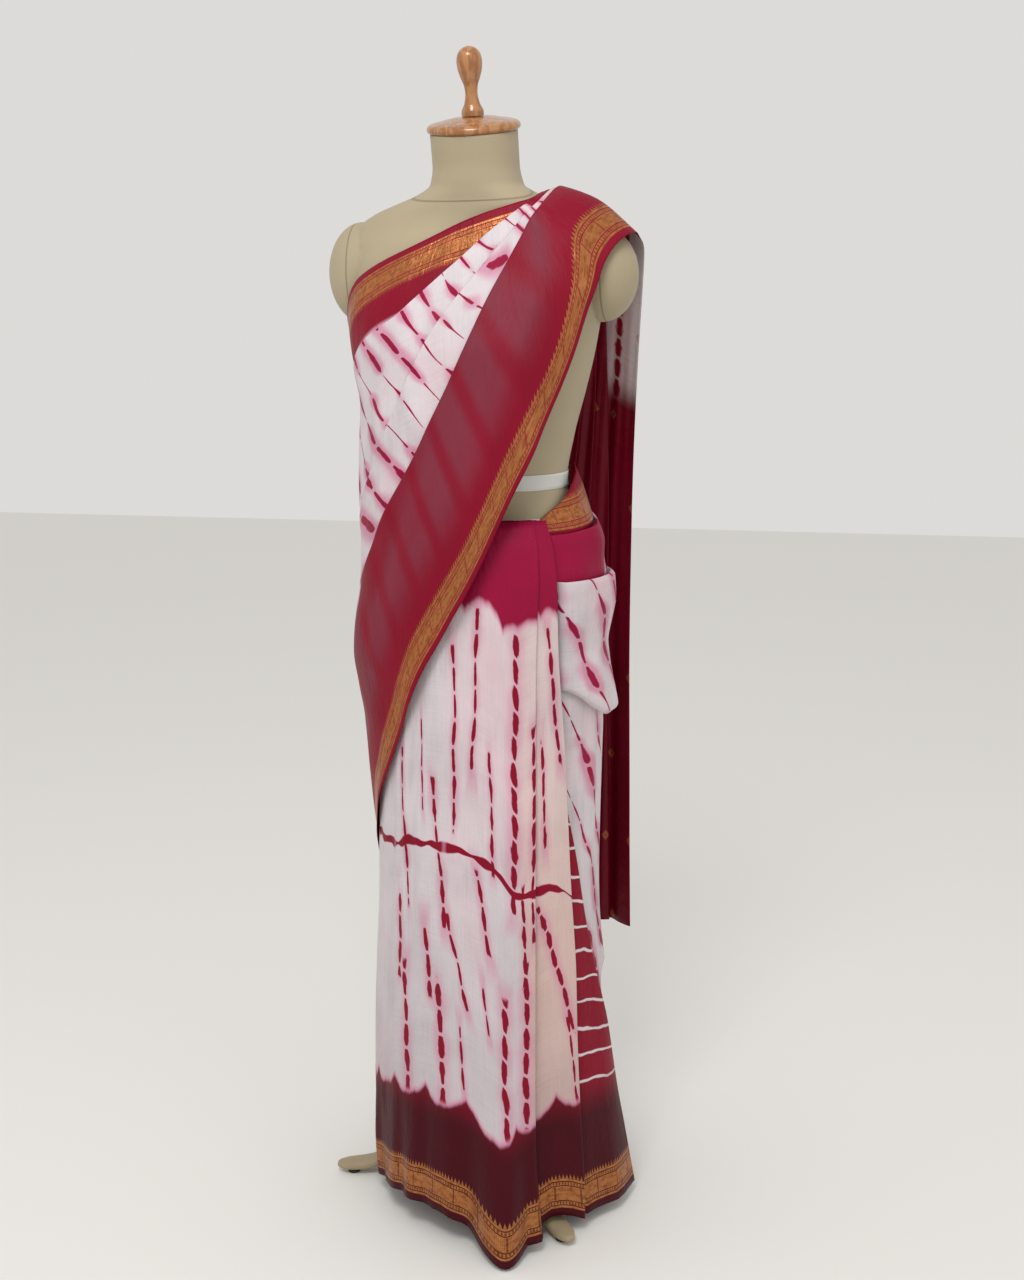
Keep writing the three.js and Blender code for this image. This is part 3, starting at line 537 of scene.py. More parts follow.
# Tied lines across the cloth, each a row of dashes
def tied_lines(sh, u, v, width, dash=DASH):
    bend = sh.sway(.6, (sh.mul(u, 2), v), 6, 2)
    place = sh.add(sh.ratio(u, LINE_SPACING), bend)
    number = sh.math("ROUND", place)
    distance = sh.mul(sh.apart(place, number), LINE_SPACING)
    start = sh.node("TexWhiteNoise", [sh.vector(number)]).outputs[0]
    along = sh.add(sh.ratio(v, dash), sh.mul(start, 5))
    fade = sh.noise((sh.mul(number, 3.7), sh.mul(v, 14)), 1, 1)
    strength = sh.step(fade, .36, .62, .18, 1)
    return dashes(sh, distance, along, sh.mul(strength, width))


# Mask of one dashed line: distance from it, place along it in dashes, and half width
def dashes(sh, distance, along, width):
    part = sh.frac(along)
    bead = sh.math("POWER", sh.sine(sh.mul(part, math.pi)), 0.6)
    rough = sh.noise((sh.mul(along, 2.3), sh.mul(distance, 160)), 1.3, 1)
    reach = sh.mul(width, sh.add(.2, sh.mul(bead, .8)))
    reach = sh.mul(reach, sh.step(rough, .2, .8, .75, 1.2))
    core = sh.fall(distance, sh.mul(reach, .45), sh.mul(reach, 1.4))
    core = sh.mul(core, sh.step(bead, .25, .5))
    halo = sh.mul(sh.fall(distance, 0, sh.mul(width, 4.2)), sh.mul(width, 75))
    return sh.larger(core, sh.smaller(halo, .42))


# Dye in a ground: pink where the mask is thin, the full colour where it is dense
def dye(sh, mask, ground, colour):
    fringe = sh.blend(sh.step(mask, 0, .45, 0, .8), ground, PINK)
    return sh.blend(sh.step(mask, .35, .85), fringe, colour)


# Height of a dyed zone's edge: pale lobes between the tied lines
def lobes(sh, u, height, depth):
    drift = sh.noise((u,), 9)
    place = sh.add(sh.ratio(u, LINE_SPACING), sh.mul(drift, 1.6))
    f = sh.math("ABSOLUTE", sh.mul(sh.sub(sh.frac(place), 0.5), 2))
    lobe = sh.math("POWER", f, 2.4)
    rough = sh.sway(.016, (u,), 60, 2)
    sway = sh.mul(sh.sub(drift, .5), .06)
    return sh.add(sh.add(sh.mul(lobe, depth), height), sh.add(sway, rough))


# Distance to the nearest of the panel's lines in half widths, three lines a vector
def nearest_line(sh, u, v):
    def triple(values):
        return tuple(float(value) for value in values)

    def vec(operation, *values):
        return sh.node("VectorMath", values, operation=operation).outputs[0]

    count = 3 * math.ceil(len(DYE_LINES["angle"]) / 3)
    rows = {key: np.resize(DYE_LINES[key], count) for key in DYE_LINES}
    lean = rows["lean"] * PANEL_SCALE
    low, high = rows["low"] - HEM_LIFT, rows["high"] - HEM_LIFT
    middle, half = (low + high) / 2, (high - low) / 2
    start = rows["angle"] * PANEL_SCALE - lean * middle
    uuu, vvv = sh.vector(u, u, u), sh.vector(v, v, v)
    nearest = None
    for i in range(0, count, 3):
        k = slice(i, i + 3)
        centre = vec("MULTIPLY_ADD", vvv, triple(lean[k]), triple(start[k]))
        off = vec("ABSOLUTE", vec("SUBTRACT", uuu, centre))
        off = vec("MULTIPLY", off, triple(1000 / rows["width"][k]))
        end = vec("ABSOLUTE", vec("SUBTRACT", vvv, triple(middle[k])))
        end = vec("MULTIPLY_ADD", end, (LINE_END,) * 3, triple(-half[k] * LINE_END))
        off = vec("MAXIMUM", off, end)
        nearest = off if nearest is None else vec("MINIMUM", nearest, off)
    parts = sh.node("SeparateXYZ", [nearest]).outputs
    return sh.smaller(parts[0], sh.smaller(parts[1], parts[2]))


def panel_lines(sh, u, v):
    bend = sh.sway(.01, (sh.mul(u, .5), v), 12, 1)
    away = nearest_line(sh, sh.add(u, bend), v)
    fade = sh.step(sh.noise((u, v), 16, 1), .25, .6, .55, 1)
    along = sh.add(sh.ratio(v, DASH), sh.mul(sh.noise((u,), 14, 0), 4))
    return dashes(sh, sh.mul(away, PANEL_LINE), along, sh.mul(fade, PANEL_LINE))


# One irregular line that crosses the front panel
def cross_line(sh, u, v):
    wander = sh.sway(.045, (u,), 14, 2)
    height = sh.sub(sh.add(.511, wander), sh.step(u, .04, .13, 0, .05))
    distance = sh.apart(v, height)
    width = sh.step(sh.noise((u, 3), 30, 1), .3, .65, .0008, .0052)
    gap = sh.step(sh.noise((u, 9), 22, 0), .32, .4)
    return sh.mul(sh.fall(distance, width, sh.mul(width, 2)), gap)


# Thin pale tie marks across a dyed pleat
def tie_marks(sh, u, v):
    sway = sh.sway(.5, (u, v), 22, 2)
    f = sh.frac(sh.add(sh.add(sh.mul(v, 27), sh.mul(u, 5)), sway))
    return sh.step(sh.apart(f, .5), .425, .47)


# Silk: threads, slubs, small crinkles and a soft sheen
def silk_finish(sh, u, v, colour, gold, gold_colour, gloss=.46):
    cloud = sh.noise((u, v), 9, 3)
    warp = sh.noise((sh.mul(u, THREADS), sh.mul(v, 14)), 1, 0)
    weft = sh.noise((sh.mul(u, 14), sh.mul(v, THREADS)), 1, 0)
    slub = sh.add(warp, weft)
    colour = sh.shade(colour, sh.add(.66, sh.add(sh.mul(cloud, .42), sh.mul(slub, .13))))
    colour = sh.blend(gold, colour, gold_colour)
    puckers = sh.noise((u, sh.mul(v, .4)), 34, 2)
    crinkle = sh.noise((sh.mul(u, 3), v), 60, 1)
    height = sh.add(sh.mul(slub, .08), sh.add(puckers, sh.mul(crinkle, .25)))
    return sh.finish(
        Base_Color=colour, Roughness=sh.step(gold, 0, 1, gloss, .3),
        Metallic=sh.mul(gold, .6), Normal=sh.bump(height, .9, .0024),
        Sheen_Weight=.03, Sheen_Roughness=.3, Sheen_Tint=colour, Specular_IOR_Level=.14)


# Mask of the dyed zones along both edges
def dyed_edges(sh, v, low_edge, high_zone):
    low = sh.fall(v, sh.sub(low_edge, .008), sh.add(low_edge, .01))
    return sh.larger(low, sh.fall(sh.sub(WIDTH, v), high_zone - .01, high_zone + .01))


# Pale ground with tied lines, dyed towards both edges and wherever look is 1
def dyed_silk(name, low_zone, high_zone, lean=0.0, line=.0048, wine_and_shade_hem=False, deep=0.0,
              top_dye=MAROON):
    sh = Shader(name)
    u, v = sh.cloth()
    edge = sh.smaller(v, sh.sub(WIDTH, v))
    across = sh.add(u, sh.mul(v, lean))
    edges = dyed_edges(sh, v, lobes(sh, across, low_zone, .02), high_zone)
    zone = sh.larger(edges, sh.look())
    ground = pale_ground(sh, u, v)
    if line:
        ground = dye(sh, tied_lines(sh, across, v, line), ground, CRIMSON)
    # Below the upper maroon, the zone by the hem can be dark wine: deeper dye with painted shade
    dyed = sh.blend(sh.step(v, .125, .2), WINE_AND_SHADE if wine_and_shade_hem else MAROON, top_dye)
    dyed = sh.blend(deep, dyed, WINE_AND_SHADE)
    return silk_finish(sh, u, v, dye(sh, zone, ground, dyed), *zari(sh, u, edge))


# The undyed silk: greyish white with a faint blush
def pale_ground(sh, u, v):
    blush = sh.noise((u, sh.mul(v, .6)), 6, 3)
    ground = sh.blend(sh.step(blush, .48, .8), PALE, BLUSH)
    grey = sh.noise((sh.mul(u, 1.6), sh.mul(v, .5)), 12, 4)
    return sh.blend(sh.step(grey, .5, .8, 0, .6), ground, GREY_AND_SHADE)


# The sheet over the chest, whose tied lines turn square to its slanting border
def chest_silk():
    sh = Shader("chest silk")
    u, v = sh.cloth()
    from_back = sh.sub(u, BACK_END)
    edge = sh.smaller(v, sh.sub(WIDTH, v))
    lean = sh.step(from_back, .05, .42, 0, 1)
    across = sh.add(u, sh.mul(sh.sub(v, .82), lean))
    low_edge = lobes(sh, u, sh.step(from_back, .15, .45, .2, .36), .02)
    ground = dye(sh, tied_lines(sh, across, v, .0072, .05), pale_ground(sh, u, v), CRIMSON)
    turn = sh.add(u, sh.mul(v, .3))
    bands = sh.beat(sh.ratio(turn, LINE_SPACING))
    bands = sh.step(bands, .22, .46, 1, .25)
    patch = sh.step(sh.noise((sh.mul(u, .5), v), 6, 2), .35, .6, .15, .62)
    sheer = sh.mul(sh.mul(sh.window(v, .11, .3, .04), bands), patch)
    dyed = sh.blend(sheer, MAROON, MAUVE)
    colour = dye(sh, dyed_edges(sh, v, low_edge, .1), ground, dyed)
    return silk_finish(sh, u, v, colour, *zari(sh, u, edge))


# The front panel with its own lines; where look is 1, the dyed pleats behind it with tie marks
def front_silk():
    sh = Shader("front silk")
    u, v = sh.cloth()
    low_edge = lobes(sh, u, .152, .022)
    low = sh.fall(v, sh.sub(low_edge, .01), sh.add(low_edge, .012))
    high_edge = sh.sub(.87, lobes(sh, u, .018, .02))
    high = sh.step(v, sh.sub(high_edge, .016), sh.add(high_edge, .01))
    warm = sh.mul(sh.window(u, .088, .175, .012), sh.step(v, .75, .25, .3, .9))
    glow = sh.mul(sh.window(u, 0, .12, .05), sh.window(v, .55, .85, .12))
    ground = sh.blend(sh.mul(glow, .55), pale_ground(sh, u, v), BLUSH)
    ground = sh.blend(warm, ground, PEACH)
    # Painted shade: the front panel's ground turns greyer towards the hem
    ground = sh.blend(sh.step(v, .6, .15, 0, .4), ground, GREY_AND_SHADE)
    lines = sh.larger(panel_lines(sh, u, v), cross_line(sh, u, v))
    ground = dye(sh, lines, ground, MAROON)
    # The zone by the hem is dark wine: deeper dye with painted shade
    dyed = sh.blend(high, sh.blend(sh.step(v, .125, .2), WINE_AND_SHADE, MAROON), CRIMSON)
    front = dye(sh, sh.larger(low, high), ground, dyed)
    # The dyed pleats behind are also dark wine by the hem: deeper dye with painted shade
    side = sh.blend(sh.step(v, .13, .2), WINE_AND_SHADE, MAROON)
    marks = sh.mul(tie_marks(sh, u, v), sh.step(v, .16, .19))
    side = sh.blend(marks, side, PALE)
    return silk_finish(sh, u, v, sh.blend(sh.look(), front, side), *zari(sh, u, v))


# Small woven gold lozenges, set far apart
def small_motifs(sh, u, v):
    row = sh.ratio(u, MOTIF_ALONG)
    place = sh.add(sh.ratio(v, MOTIF_ACROSS), sh.mul(sh.math("FLOOR", row), 0.5))
    x = sh.mul(sh.beat(row), MOTIF_ALONG)
    y = sh.mul(sh.beat(place), MOTIF_ACROSS)
    away = sh.add(x, sh.mul(y, 1.3))
    outline = sh.mul(sh.fall(away, .0075, .009), sh.step(away, .001, .0025))
    stripe = sh.step(sh.sine(sh.mul(u, 3600)), -.4, .3)
    return sh.mul(sh.mul(outline, stripe), .85)


# Inner face of the hanging end: dark satin, pale with dashes at the shoulder
def pallu_inner_silk():
    sh = Shader("pallu inner silk")
    u, v = sh.cloth()
    zone = sh.mul(sh.fall(u, .26, .31), sh.fall(v, .05, .062))
    dash = dashes(sh, sh.apart(v, .034), sh.ratio(u, .03), .0085)
    pale = sh.blend(dash, PALE, MAROON)
    colour = sh.blend(zone, sh.blend(.5, MAROON, WINE_AND_SHADE), pale)
    return silk_finish(sh, u, v, colour, small_motifs(sh, u, v), GOLD, .34)


def canvas():
    sh = Shader("form cover")
    place = sh.place()
    x, y, z = sh.node("SeparateXYZ", [place]).outputs
    cloud = sh.noise(place, 6, 3)
    weave = sh.noise(place, 900, 2)
    colour = sh.blend(cloud, *CANVAS)
    arm = sh.apart(sh.apart(x, float(SHIFT[0])), ARM_SEAM_X)
    arm = sh.larger(arm, sh.step(z, 1.22, 1.24, .02, 0))
    forward = sh.mul(sh.sub(y, float(SHIFT[1])), NECK_SEAM_SLOPE)
    neck = sh.apart(z, sh.add(NECK_SEAM_Z, forward))
    seam = sh.fall(sh.smaller(arm, neck), .0004, .0016)
    colour = sh.blend(sh.mul(seam, .55), colour, SEAM_BROWN)
    height = sh.sub(sh.mul(weave, .25), seam)
    return sh.finish(Base_Color=colour, Roughness=.62, Normal=sh.bump(height, .6, .0008),
                     Sheen_Weight=.1, Specular_IOR_Level=.3)


def wood():
    sh = Shader("varnished wood")
    place = sh.node("Mapping", [sh.place()])
    place.inputs["Scale"].default_value = (26, 26, 5)
    warp = sh.noise(place.outputs[0], 1.6, 4, .6)
    grain = sh.sine(sh.mul(warp, 34))
    colour = sh.blend(sh.step(grain, -1, 1), *WOOD)
    return sh.finish(Base_Color=colour, Roughness=.22, Normal=sh.bump(grain, .08, .0006),
                     Coat_Weight=.4, Coat_Roughness=.1)


def stand_paint():
    sh = Shader("stand paint")
    place = sh.place()
    cloud = sh.noise(place, 24, 4)
    colour = sh.blend(cloud, *PAINT)
    return sh.finish(Base_Color=colour, Roughness=sh.step(cloud, .2, .8, .38, .6),
                     Normal=sh.bump(sh.noise(place, 160, 3), .25, .0008))


def rubber():
    sh = Shader("foot rubber")
    grain = sh.noise(sh.place(), 700, 2)
    colour = sh.blend(grain, *RUBBER)
    return sh.finish(Base_Color=colour, Roughness=.85, Normal=sh.bump(grain, .4, .0005))


def satin_tape():
    sh = Shader("waist tape")
    u, v = sh.cloth()
    ribs = sh.sine(sh.mul(u, 5200))
    colour = sh.blend(sh.step(sh.apart(v, .5), .4, .46), *TAPE)
    return sh.finish(Base_Color=colour, Roughness=.4, Normal=sh.bump(ribs, .12, .0003),
                     Sheen_Weight=.2)


def torso(material):
    body = np.linspace(FORM_BASE_Z, SHOULDER_Z, 76)
    levels = np.concatenate([body, np.linspace(SHOULDER_Z + 6, NECK_TOP_Z, 44)])
    z, angle = cells(levels, ring(120))
    grid = around(angle, form_radius(angle, z), z)
    grid[..., 2] += grid[..., 1] * math.tan(NECK_LEAN) * smooth(NECK_BASE_Z, NECK_TOP_Z, z)
    grid[..., 1] += curve(FORM, "y", z)
    parts = [grid_mesh("form_torso", grid, solid=True)]
    tilt, turn = cells(np.linspace(-89, 89, 40), ring(64))
    ball = around(turn, np.cos(np.radians(tilt)), np.sin(np.radians(tilt)))
    for i, (place, size) in enumerate(ARM_CAPS):
        parts.append(grid_mesh(f"arm cap {i}", ball * size + place, solid=True))
    return merged_solid("form_torso_cover", parts, "form_torso", material)


# One closed mesh from overlapping closed ones
def merged_solid(name, parts, node, material):
    helpers = [linked(mesh.name, mesh) for mesh in parts]
    for other in helpers[1:]:
        cut = helpers[0].modifiers.new("join", "BOOLEAN")
        cut.operation = "UNION"
        cut.solver = "EXACT"
        cut.object = other
    bpy.context.view_layer.update()
    graph = bpy.context.evaluated_depsgraph_get()
    mesh = bpy.data.meshes.new_from_object(helpers[0].evaluated_get(graph))
    for helper in helpers:
        bpy.data.objects.remove(helper)
    mesh.polygons.foreach_set("use_smooth", [True] * len(mesh.polygons))
    mesh.materials.clear()
    return new_object(name, mesh, node, [material])


def waist_tape(material):
    levels = np.linspace(TAPE_Z, TAPE_Z + TAPE_WIDE, 6)
    z, angle = cells(levels, np.linspace(0, 360, 121))
    grid = around(angle, form_radius(angle, z) + TAPE_LIFT, z)
    uv = np.stack([angle / 360 * .72, (z - TAPE_Z) / TAPE_WIDE], -1)
    mesh = grid_mesh("waist_tape", grid, uv)
    piece = new_object("waist_tape_ribbon", mesh, "waist_tape", [material])
    shell = piece.modifiers.new("thickness", "SOLIDIFY")
    shell.thickness = SILK


# A turned piece on the form's neck, leaning back with it
def lathe(name, node, profile, lift, material):
    rows = table("r z", profile)
    run = np.hypot(np.diff(rows["r"]), np.diff(rows["z"]))
    rows["at"] = np.concatenate([[0], np.cumsum(run)])
    along = np.linspace(0, rows["at"][-1], 90)
    r = np.maximum(curve(rows, "r", along, "at"), .05)
    z = curve(rows, "z", along, "at") + lift
    grid = around(ring(72), r[:, None], z[:, None])
    y, up = grid[..., 1].copy(), grid[..., 2].copy()
    grid[..., 1] = y * math.cos(NECK_LEAN) - up * math.sin(NECK_LEAN) + NECK_LEAN_Y
    grid[..., 2] = y * math.sin(NECK_LEAN) + up * math.cos(NECK_LEAN) + NECK_TOP_Z + SEAM_GAP
    new_object(name, grid_mesh(name, grid, solid=True), node, [material])


# Cast legs: sections square to the leg, but upright where it meets the hub
def legs(material):
    out = np.concatenate([np.linspace(34.6, 200, 40), np.linspace(204, 229.6, 14)])
    z, wide, tall = (curve(LEG, column, out, "out") for column in ("z", "wide", "tall"))
    slope = np.gradient(z, out)
    run = 1 / np.hypot(1, slope)
    turn = np.radians(ring(28))
    c, s = np.cos(turn), np.sin(turn)
    across = np.sign(c) * np.abs(c)**LEG_ROUND * wide[:, None] / 2
    up = np.sign(s) * np.abs(s)**LEG_ROUND * tall[:, None] / 2
    lean = slope * run
    lean[0], run[0] = 0.0, 1.0
    y = -out[:, None] - up * lean[:, None]
    height = (z[:, None] + PAD_HEIGHT) + up * run[:, None]
    grid = np.stack([across, y, height], -1)
    for i, angle in enumerate(LEG_ANGLES):
        c, s = math.cos(math.radians(angle)), math.sin(math.radians(angle))
        name = f"leg_{i + 1}"
        spun = grid @ np.array([[c, s, 0], [-s, c, 0], [0, 0, 1]])
        mesh = grid_mesh(name, spun, solid=True)
        new_object(name + "_turned", mesh, name, [material])


# First round of cloth
def skirt_wrap(material):
    v, angle = cells(np.linspace(0, 1, 110), np.linspace(0, 360, 181))
    foot = hem_height(angle, skirt_radius(angle, 20), 18)
    z = mix(foot, CLOTH_TOP, v)
    backward = smooth(100, 150, np.abs(turned(angle)))
    fold = 3.2 * np.cos(np.radians(7 * angle + 20)) + 2.2 * np.cos(np.radians(11 * angle + 75))
    fine = skirt_crease(turned(angle), z) * smooth(WAIST_TOP, 880, z)
    r = skirt_radius(angle, z) + fold * backward * smooth(640, 60, z) + fine
    uv = np.stack([angle * SKIRT_SCALE, (z - foot) / 1000], -1)
    piece = cloth_piece("skirt_wrap", around(angle, r, z), uv, [material])


# Front pleats: how far a layer of the folded ribbon stands off the skirt
def layer_lift(layer, angle, z):
    low = ((CLOTH_TOP - z) / CLOTH_TOP)**2
    count = len(LAYER_HEM)
    first = mix(LAYER_INNER, LAYER_WAIST, smooth(940, WAIST_TOP, z))
    full = mix(first + LAYER_TOP * (count - 1 - layer), LAYER_HEM[int(layer)], low)
    lift = mix(first + .1, full, smooth(*LAYER_RISE, angle))
    if layer == 0:
        off = (angle - CORNER["angle"]) / CORNER["spread"]
        lift = lift + CORNER["reach"] * np.exp(-off * off) * smooth(CORNER["top"], 0, z)**1.5
    return lift


# Columns of the folded ribbon: layer, place along it, place round its fold
def ribbon_columns():
    columns = [(0, t, 0) for t in np.linspace(0, 1, 110)]
    for layer in range(1, len(LAYER_HEM)):
        columns += [(layer - 1, 1, bend) for bend in (.15, .32, .5, .68, .85)]
        columns += [(layer, t, 0) for t in np.linspace(0, 1, 14)]
    return columns


def ribbon_angle(layer, t, z):
    pleat = (layer + 1) // 2
    if layer == 0:
        return mix(PANEL_START, curve(PLEAT_EDGES, "e1", z), t)
    start = curve(PLEAT_EDGES, f"e{pleat}", z)
    inner = start - PLEAT_DEPTH[pleat - 1]
    if layer % 2:
        return mix(start, inner, t)
    if pleat == len(PLEAT_DEPTH):
        return mix(inner, LAST_EDGE, t)
    return mix(inner, curve(PLEAT_EDGES, f"e{pleat + 1}", z), t)


def ribbon_place(column, z):
    layer, t, bend = column
    angle = ribbon_angle(layer, t, z)
    if not bend:
        return angle, layer_lift(layer, angle, z)
    a, b = layer_lift(layer, angle, z), layer_lift(layer + 1, angle, z)
    gap = np.maximum(a - b, LAYER_TOP)
    out = np.degrees(gap * .55 * math.sin(math.pi * bend) / skirt_radius(angle, z))
    angle = angle + (out if layer % 2 == 0 else -out)
    return angle, mix(a, b, (1 - math.cos(math.pi * bend)) / 2)


def front_pleats(material):
    columns = ribbon_columns()
    rows = np.concatenate([np.linspace(0, .3, 44), np.linspace(.3, 1, 62)[1:]])
    grid = np.zeros((len(rows), len(columns), 3))
    uv = np.zeros((len(rows), len(columns), 2))
    looks = np.zeros((len(rows), len(columns)))
    for k, column in enumerate(columns):
        low_angle, low_lift = ribbon_place(column, np.array([16.0]))
        foot = curve(PANEL_HEM, "z", low_angle, "angle")
        foot = hem_height(low_angle, skirt_radius(low_angle, foot) + low_lift, foot)
        z = mix(foot, CLOTH_TOP, rows)
        angle, lift = ribbon_place(column, z)
        outward = smooth(2.5, 5, lift)
        crease = skirt_crease(angle, z) * outward * smooth(WAIST_TOP, 900, z)
        r = skirt_radius(angle, z) + lift + crease
        grid[:, k] = around(angle, r, z)
        uv[:, k] = np.stack([angle * PANEL_SCALE, (z - foot) / 1000], -1)
        looks[:, k] = float(column[0] + (column[2] > .5) > 2)
    piece = cloth_piece("front_pleats", grid, uv, [material], looks)


# Left hip: how far the cloth's folded edge stands off the skirt
def band_flare(angle):
    return mix(15, 28, smooth(56, 90, angle)) - 5 * smooth(94, HIP_TO, angle)


# A pouch under the folded edge, a swag below it, then a plain fall
def hip_fall(material):
    angle = np.linspace(HIP_FROM, HIP_TO, 90)
    rounding = smooth(56, 92, angle)
    open_part = mix(1, .25, smooth(97, HIP_TO, angle))
    swag = mix(761, 714, smooth(54, 86, angle))
    low = mix(24, 335, smooth(74, 104, angle))
    nodes = [
        (884, 14.4), (897, 17), (905, mix(18.6, 21, open_part)),
        (899, mix(19, 24 + 2 * rounding, open_part)),
        (862, mix(18, 23 + rounding, open_part)), (806, mix(15, 12, rounding)),
        (swag + 30, mix(15, 17 + 6 * rounding, open_part)),
        (swag + 6, mix(16, 19 + 8 * rounding, open_part)),
        (swag, mix(13, 14 + 6 * rounding, open_part)), (swag + 6, 11), (swag + 15, 8.6),
        (swag - 4, 6.4), (620, 6.4), (500, 6.4), (mix(500, low, .55), 7),
        (low, 7 + 5 * smooth(98, 106, angle))]
    z, lift = rounded_path(nodes, angle, 9)
    wide = np.broadcast_to(angle, z.shape)
    lift = mix(5, lift, smooth(53, 58.5, wide))
    sway = .8 * wave(wide, z, 26, 2.4, 0) * smooth(880, 840, z)
    r = skirt_radius(wide, z) + lift + skirt_crease(wide, z) * smooth(900, 820, z) + sway
    grid = around(wide, r, z).transpose(1, 0, 2)
    uv = np.stack([wide * SKIRT_SCALE, .3 + (z - 335) / 1000], -1).transpose(1, 0, 2)
    piece = cloth_piece("hip_fall", grid, uv, [material])


# A path through nodes of height and lift at each angle, with its corners eased
def rounded_path(nodes, angle, parts):
    count = len(nodes)
    at = np.linspace(0, count - 1, (count - 1) * parts + 1)
    i = np.clip(at.astype(int), 0, count - 2)
    t = (at - i)[:, None]
    paths = []
    for k in (0, 1):
        values = np.stack([np.broadcast_to(node[k], angle.shape) for node in nodes])
        before = values[np.maximum(i - 1, 0)]
        after = values[np.minimum(i + 2, count - 1)]
        a, b = values[i], values[i + 1]
        paths.append(hermite(a, b, (b - before) * EASE, (after - a) * EASE, t))
    return paths


# The edge folded over above the pouch
def hip_band(material):
    angle = np.linspace(HIP_START, HIP_TO, 80)
    top = curve(BAND_TOP, "z", angle, "angle")
    flare = band_flare(angle)
    nodes = [(top - 9, -3.5), (top, -1.5), (top - 3, 1.2), (top - 26, -2),
             (top - 52, mix(-3, -11, smooth(56, 92, angle))), (882, 13 - flare)]
    z, extra = rounded_path(nodes, angle, 8)
    wide = np.broadcast_to(angle, z.shape)
    crease = 1.1 * wave(wide, z, 15, 6, 0) * smooth(884, 910, z)
    grid = around(wide, skirt_radius(wide, z) + flare + extra + crease, z).transpose(1, 0, 2)
    uv = np.stack([wide * SKIRT_SCALE, (z - 882) / 1000 + .3], -1).transpose(1, 0, 2)
    dyed = 1 - smooth(88, 102, wide + (950 - z) * .12)
    piece = cloth_piece("hip_band", grid, uv, [material], dyed.T)


# The upper border turned out above the folded edge
def hip_collar(material):
    angle = np.linspace(HIP_START, HIP_TO, 80)
    top = curve(COLLAR_TOP, "z", angle, "angle")
    band = curve(BAND_TOP, "z", angle, "angle")
    outer = skirt_radius(angle, band) + band_flare(angle) - 6
    inner = np.maximum(form_radius(angle, top) + 3.5, skirt_radius(angle, np.minimum(top, 990)) + 3)
    t = np.linspace(0, 1, 26)[:, None]
    r = mix(inner, outer, t**.8) + 1.2 * np.sin(math.pi * t) * wave(angle, 0, 14, 0, 0)
    z = mix(top, band + 4, t)
    r = np.vstack([r, outer - .5, outer - 1.5])
    z = np.vstack([z, band - 2, band - 6])
    wide = np.broadcast_to(angle, z.shape)
    grid = around(wide, r, z).transpose(1, 0, 2)
    reach = lengths(grid, 1)
    uv = np.stack([wide.T * SKIRT_SCALE, reach[:, -1:] - reach], -1)
    piece = cloth_piece("hip_collar", grid, uv, [material], 1.0)


# Second round over the back
def back_wrap(material):
    angles = np.linspace(HIP_TO + .3, BACK_TO, 110)
    angle, t = cells(angles, np.linspace(0, 1, 130))
    top = curve(BACK_TOP, "z", angle, "angle")
    foot = curve(BACK_FOOT, "z", angle, "angle")
    z = mix(top, foot, t)
    middle = smooth(116, 140, angle) * smooth(BACK_TO, 190, angle)
    slant = angle + (z - 700) * .06
    fold = 2.4 * np.cos(np.radians(9 * slant)) + 1.6 * np.cos(np.radians(17 * slant + 50))
    r = mix(skirt_radius(angle, z) + 8, oval_of(DRAPE, angle, z), smooth(HIP_TO, 160, angle))
    r = np.maximum(r, form_radius(angle, z) + 3)
    fine = .7 * wave(angle, z, 30, 3, 0) * middle
    grid = around(angle, r + middle * smooth(1080, 700, z) * fold + fine, z)
    v = np.where(t > .5, (z - foot) / 1000, WIDTH - (top - z) / 1000)
    uv = np.stack([angle * BACK_SCALE, v], -1)
    piece = cloth_piece("back_wrap", grid, uv, [material])


# The round of a fold, from one layer to the next
def fold_round(at, reach, layer, pleat):
    arc = np.linspace(0, math.pi, 6)[1:-1]
    return [(at + reach * math.sin(a), layer + .5 - .5 * math.cos(a), pleat) for a in arc]


# Stops across the upper sheet: fraction of its width, layers below, and its pleat
def fold_stops(row):
    starts = (0, row["a"], row["b"], row["c"])
    stops = []
    for k in range(3):
        start, after = starts[k], starts[k + 1]
        under = np.minimum(after + row["tuck"], .985)
        stops += [(mix(start, under, v), 2 * k, k) for v in np.linspace(0, 1, 22)]
        stops += fold_round(under, row["bend"], 2 * k, k + .5)
        stops += [(mix(under, after, v), 2 * k + 1, k + .5) for v in np.linspace(0, 1, 8)]
        stops += fold_round(after, -row["bend"], 2 * k + 1, k + 1)
    for v in np.linspace(0, 1, 46):
        stops.append((mix(starts[3], 1, v), mix(6, row["hem"], smooth(.35, 1, v)), 3))
    return np.array(stops, float).T


def station(rows, s, **fixed):
    return {key: float(curve(rows, key, s, "s")) for key in rows if key != "s"} | fixed


def chest_row(s):
    row = station(CHEST, s, bend=CHEST_BEND)
    t, layer, _ = fold_stops(row)
    angle = mix(row["up_angle"], row["low_angle"], t)
    z = mix(row["up_z"], row["low_z"], t)
    base = np.maximum(oval_of(DRAPE, angle, z), form_radius(angle, z) + 3)
    calm = smooth(0, 1.2, s) * smooth(8.6, 6, s)
    ripple = 2.6 * math.sin(s * 5.3) * np.exp(-((1 - t) / .1)**2) * calm
    crease = chest_crease(angle, z) * calm
    return around(angle, base + PLEAT_RISE * row["rise"] * layer + crease + ripple, z)


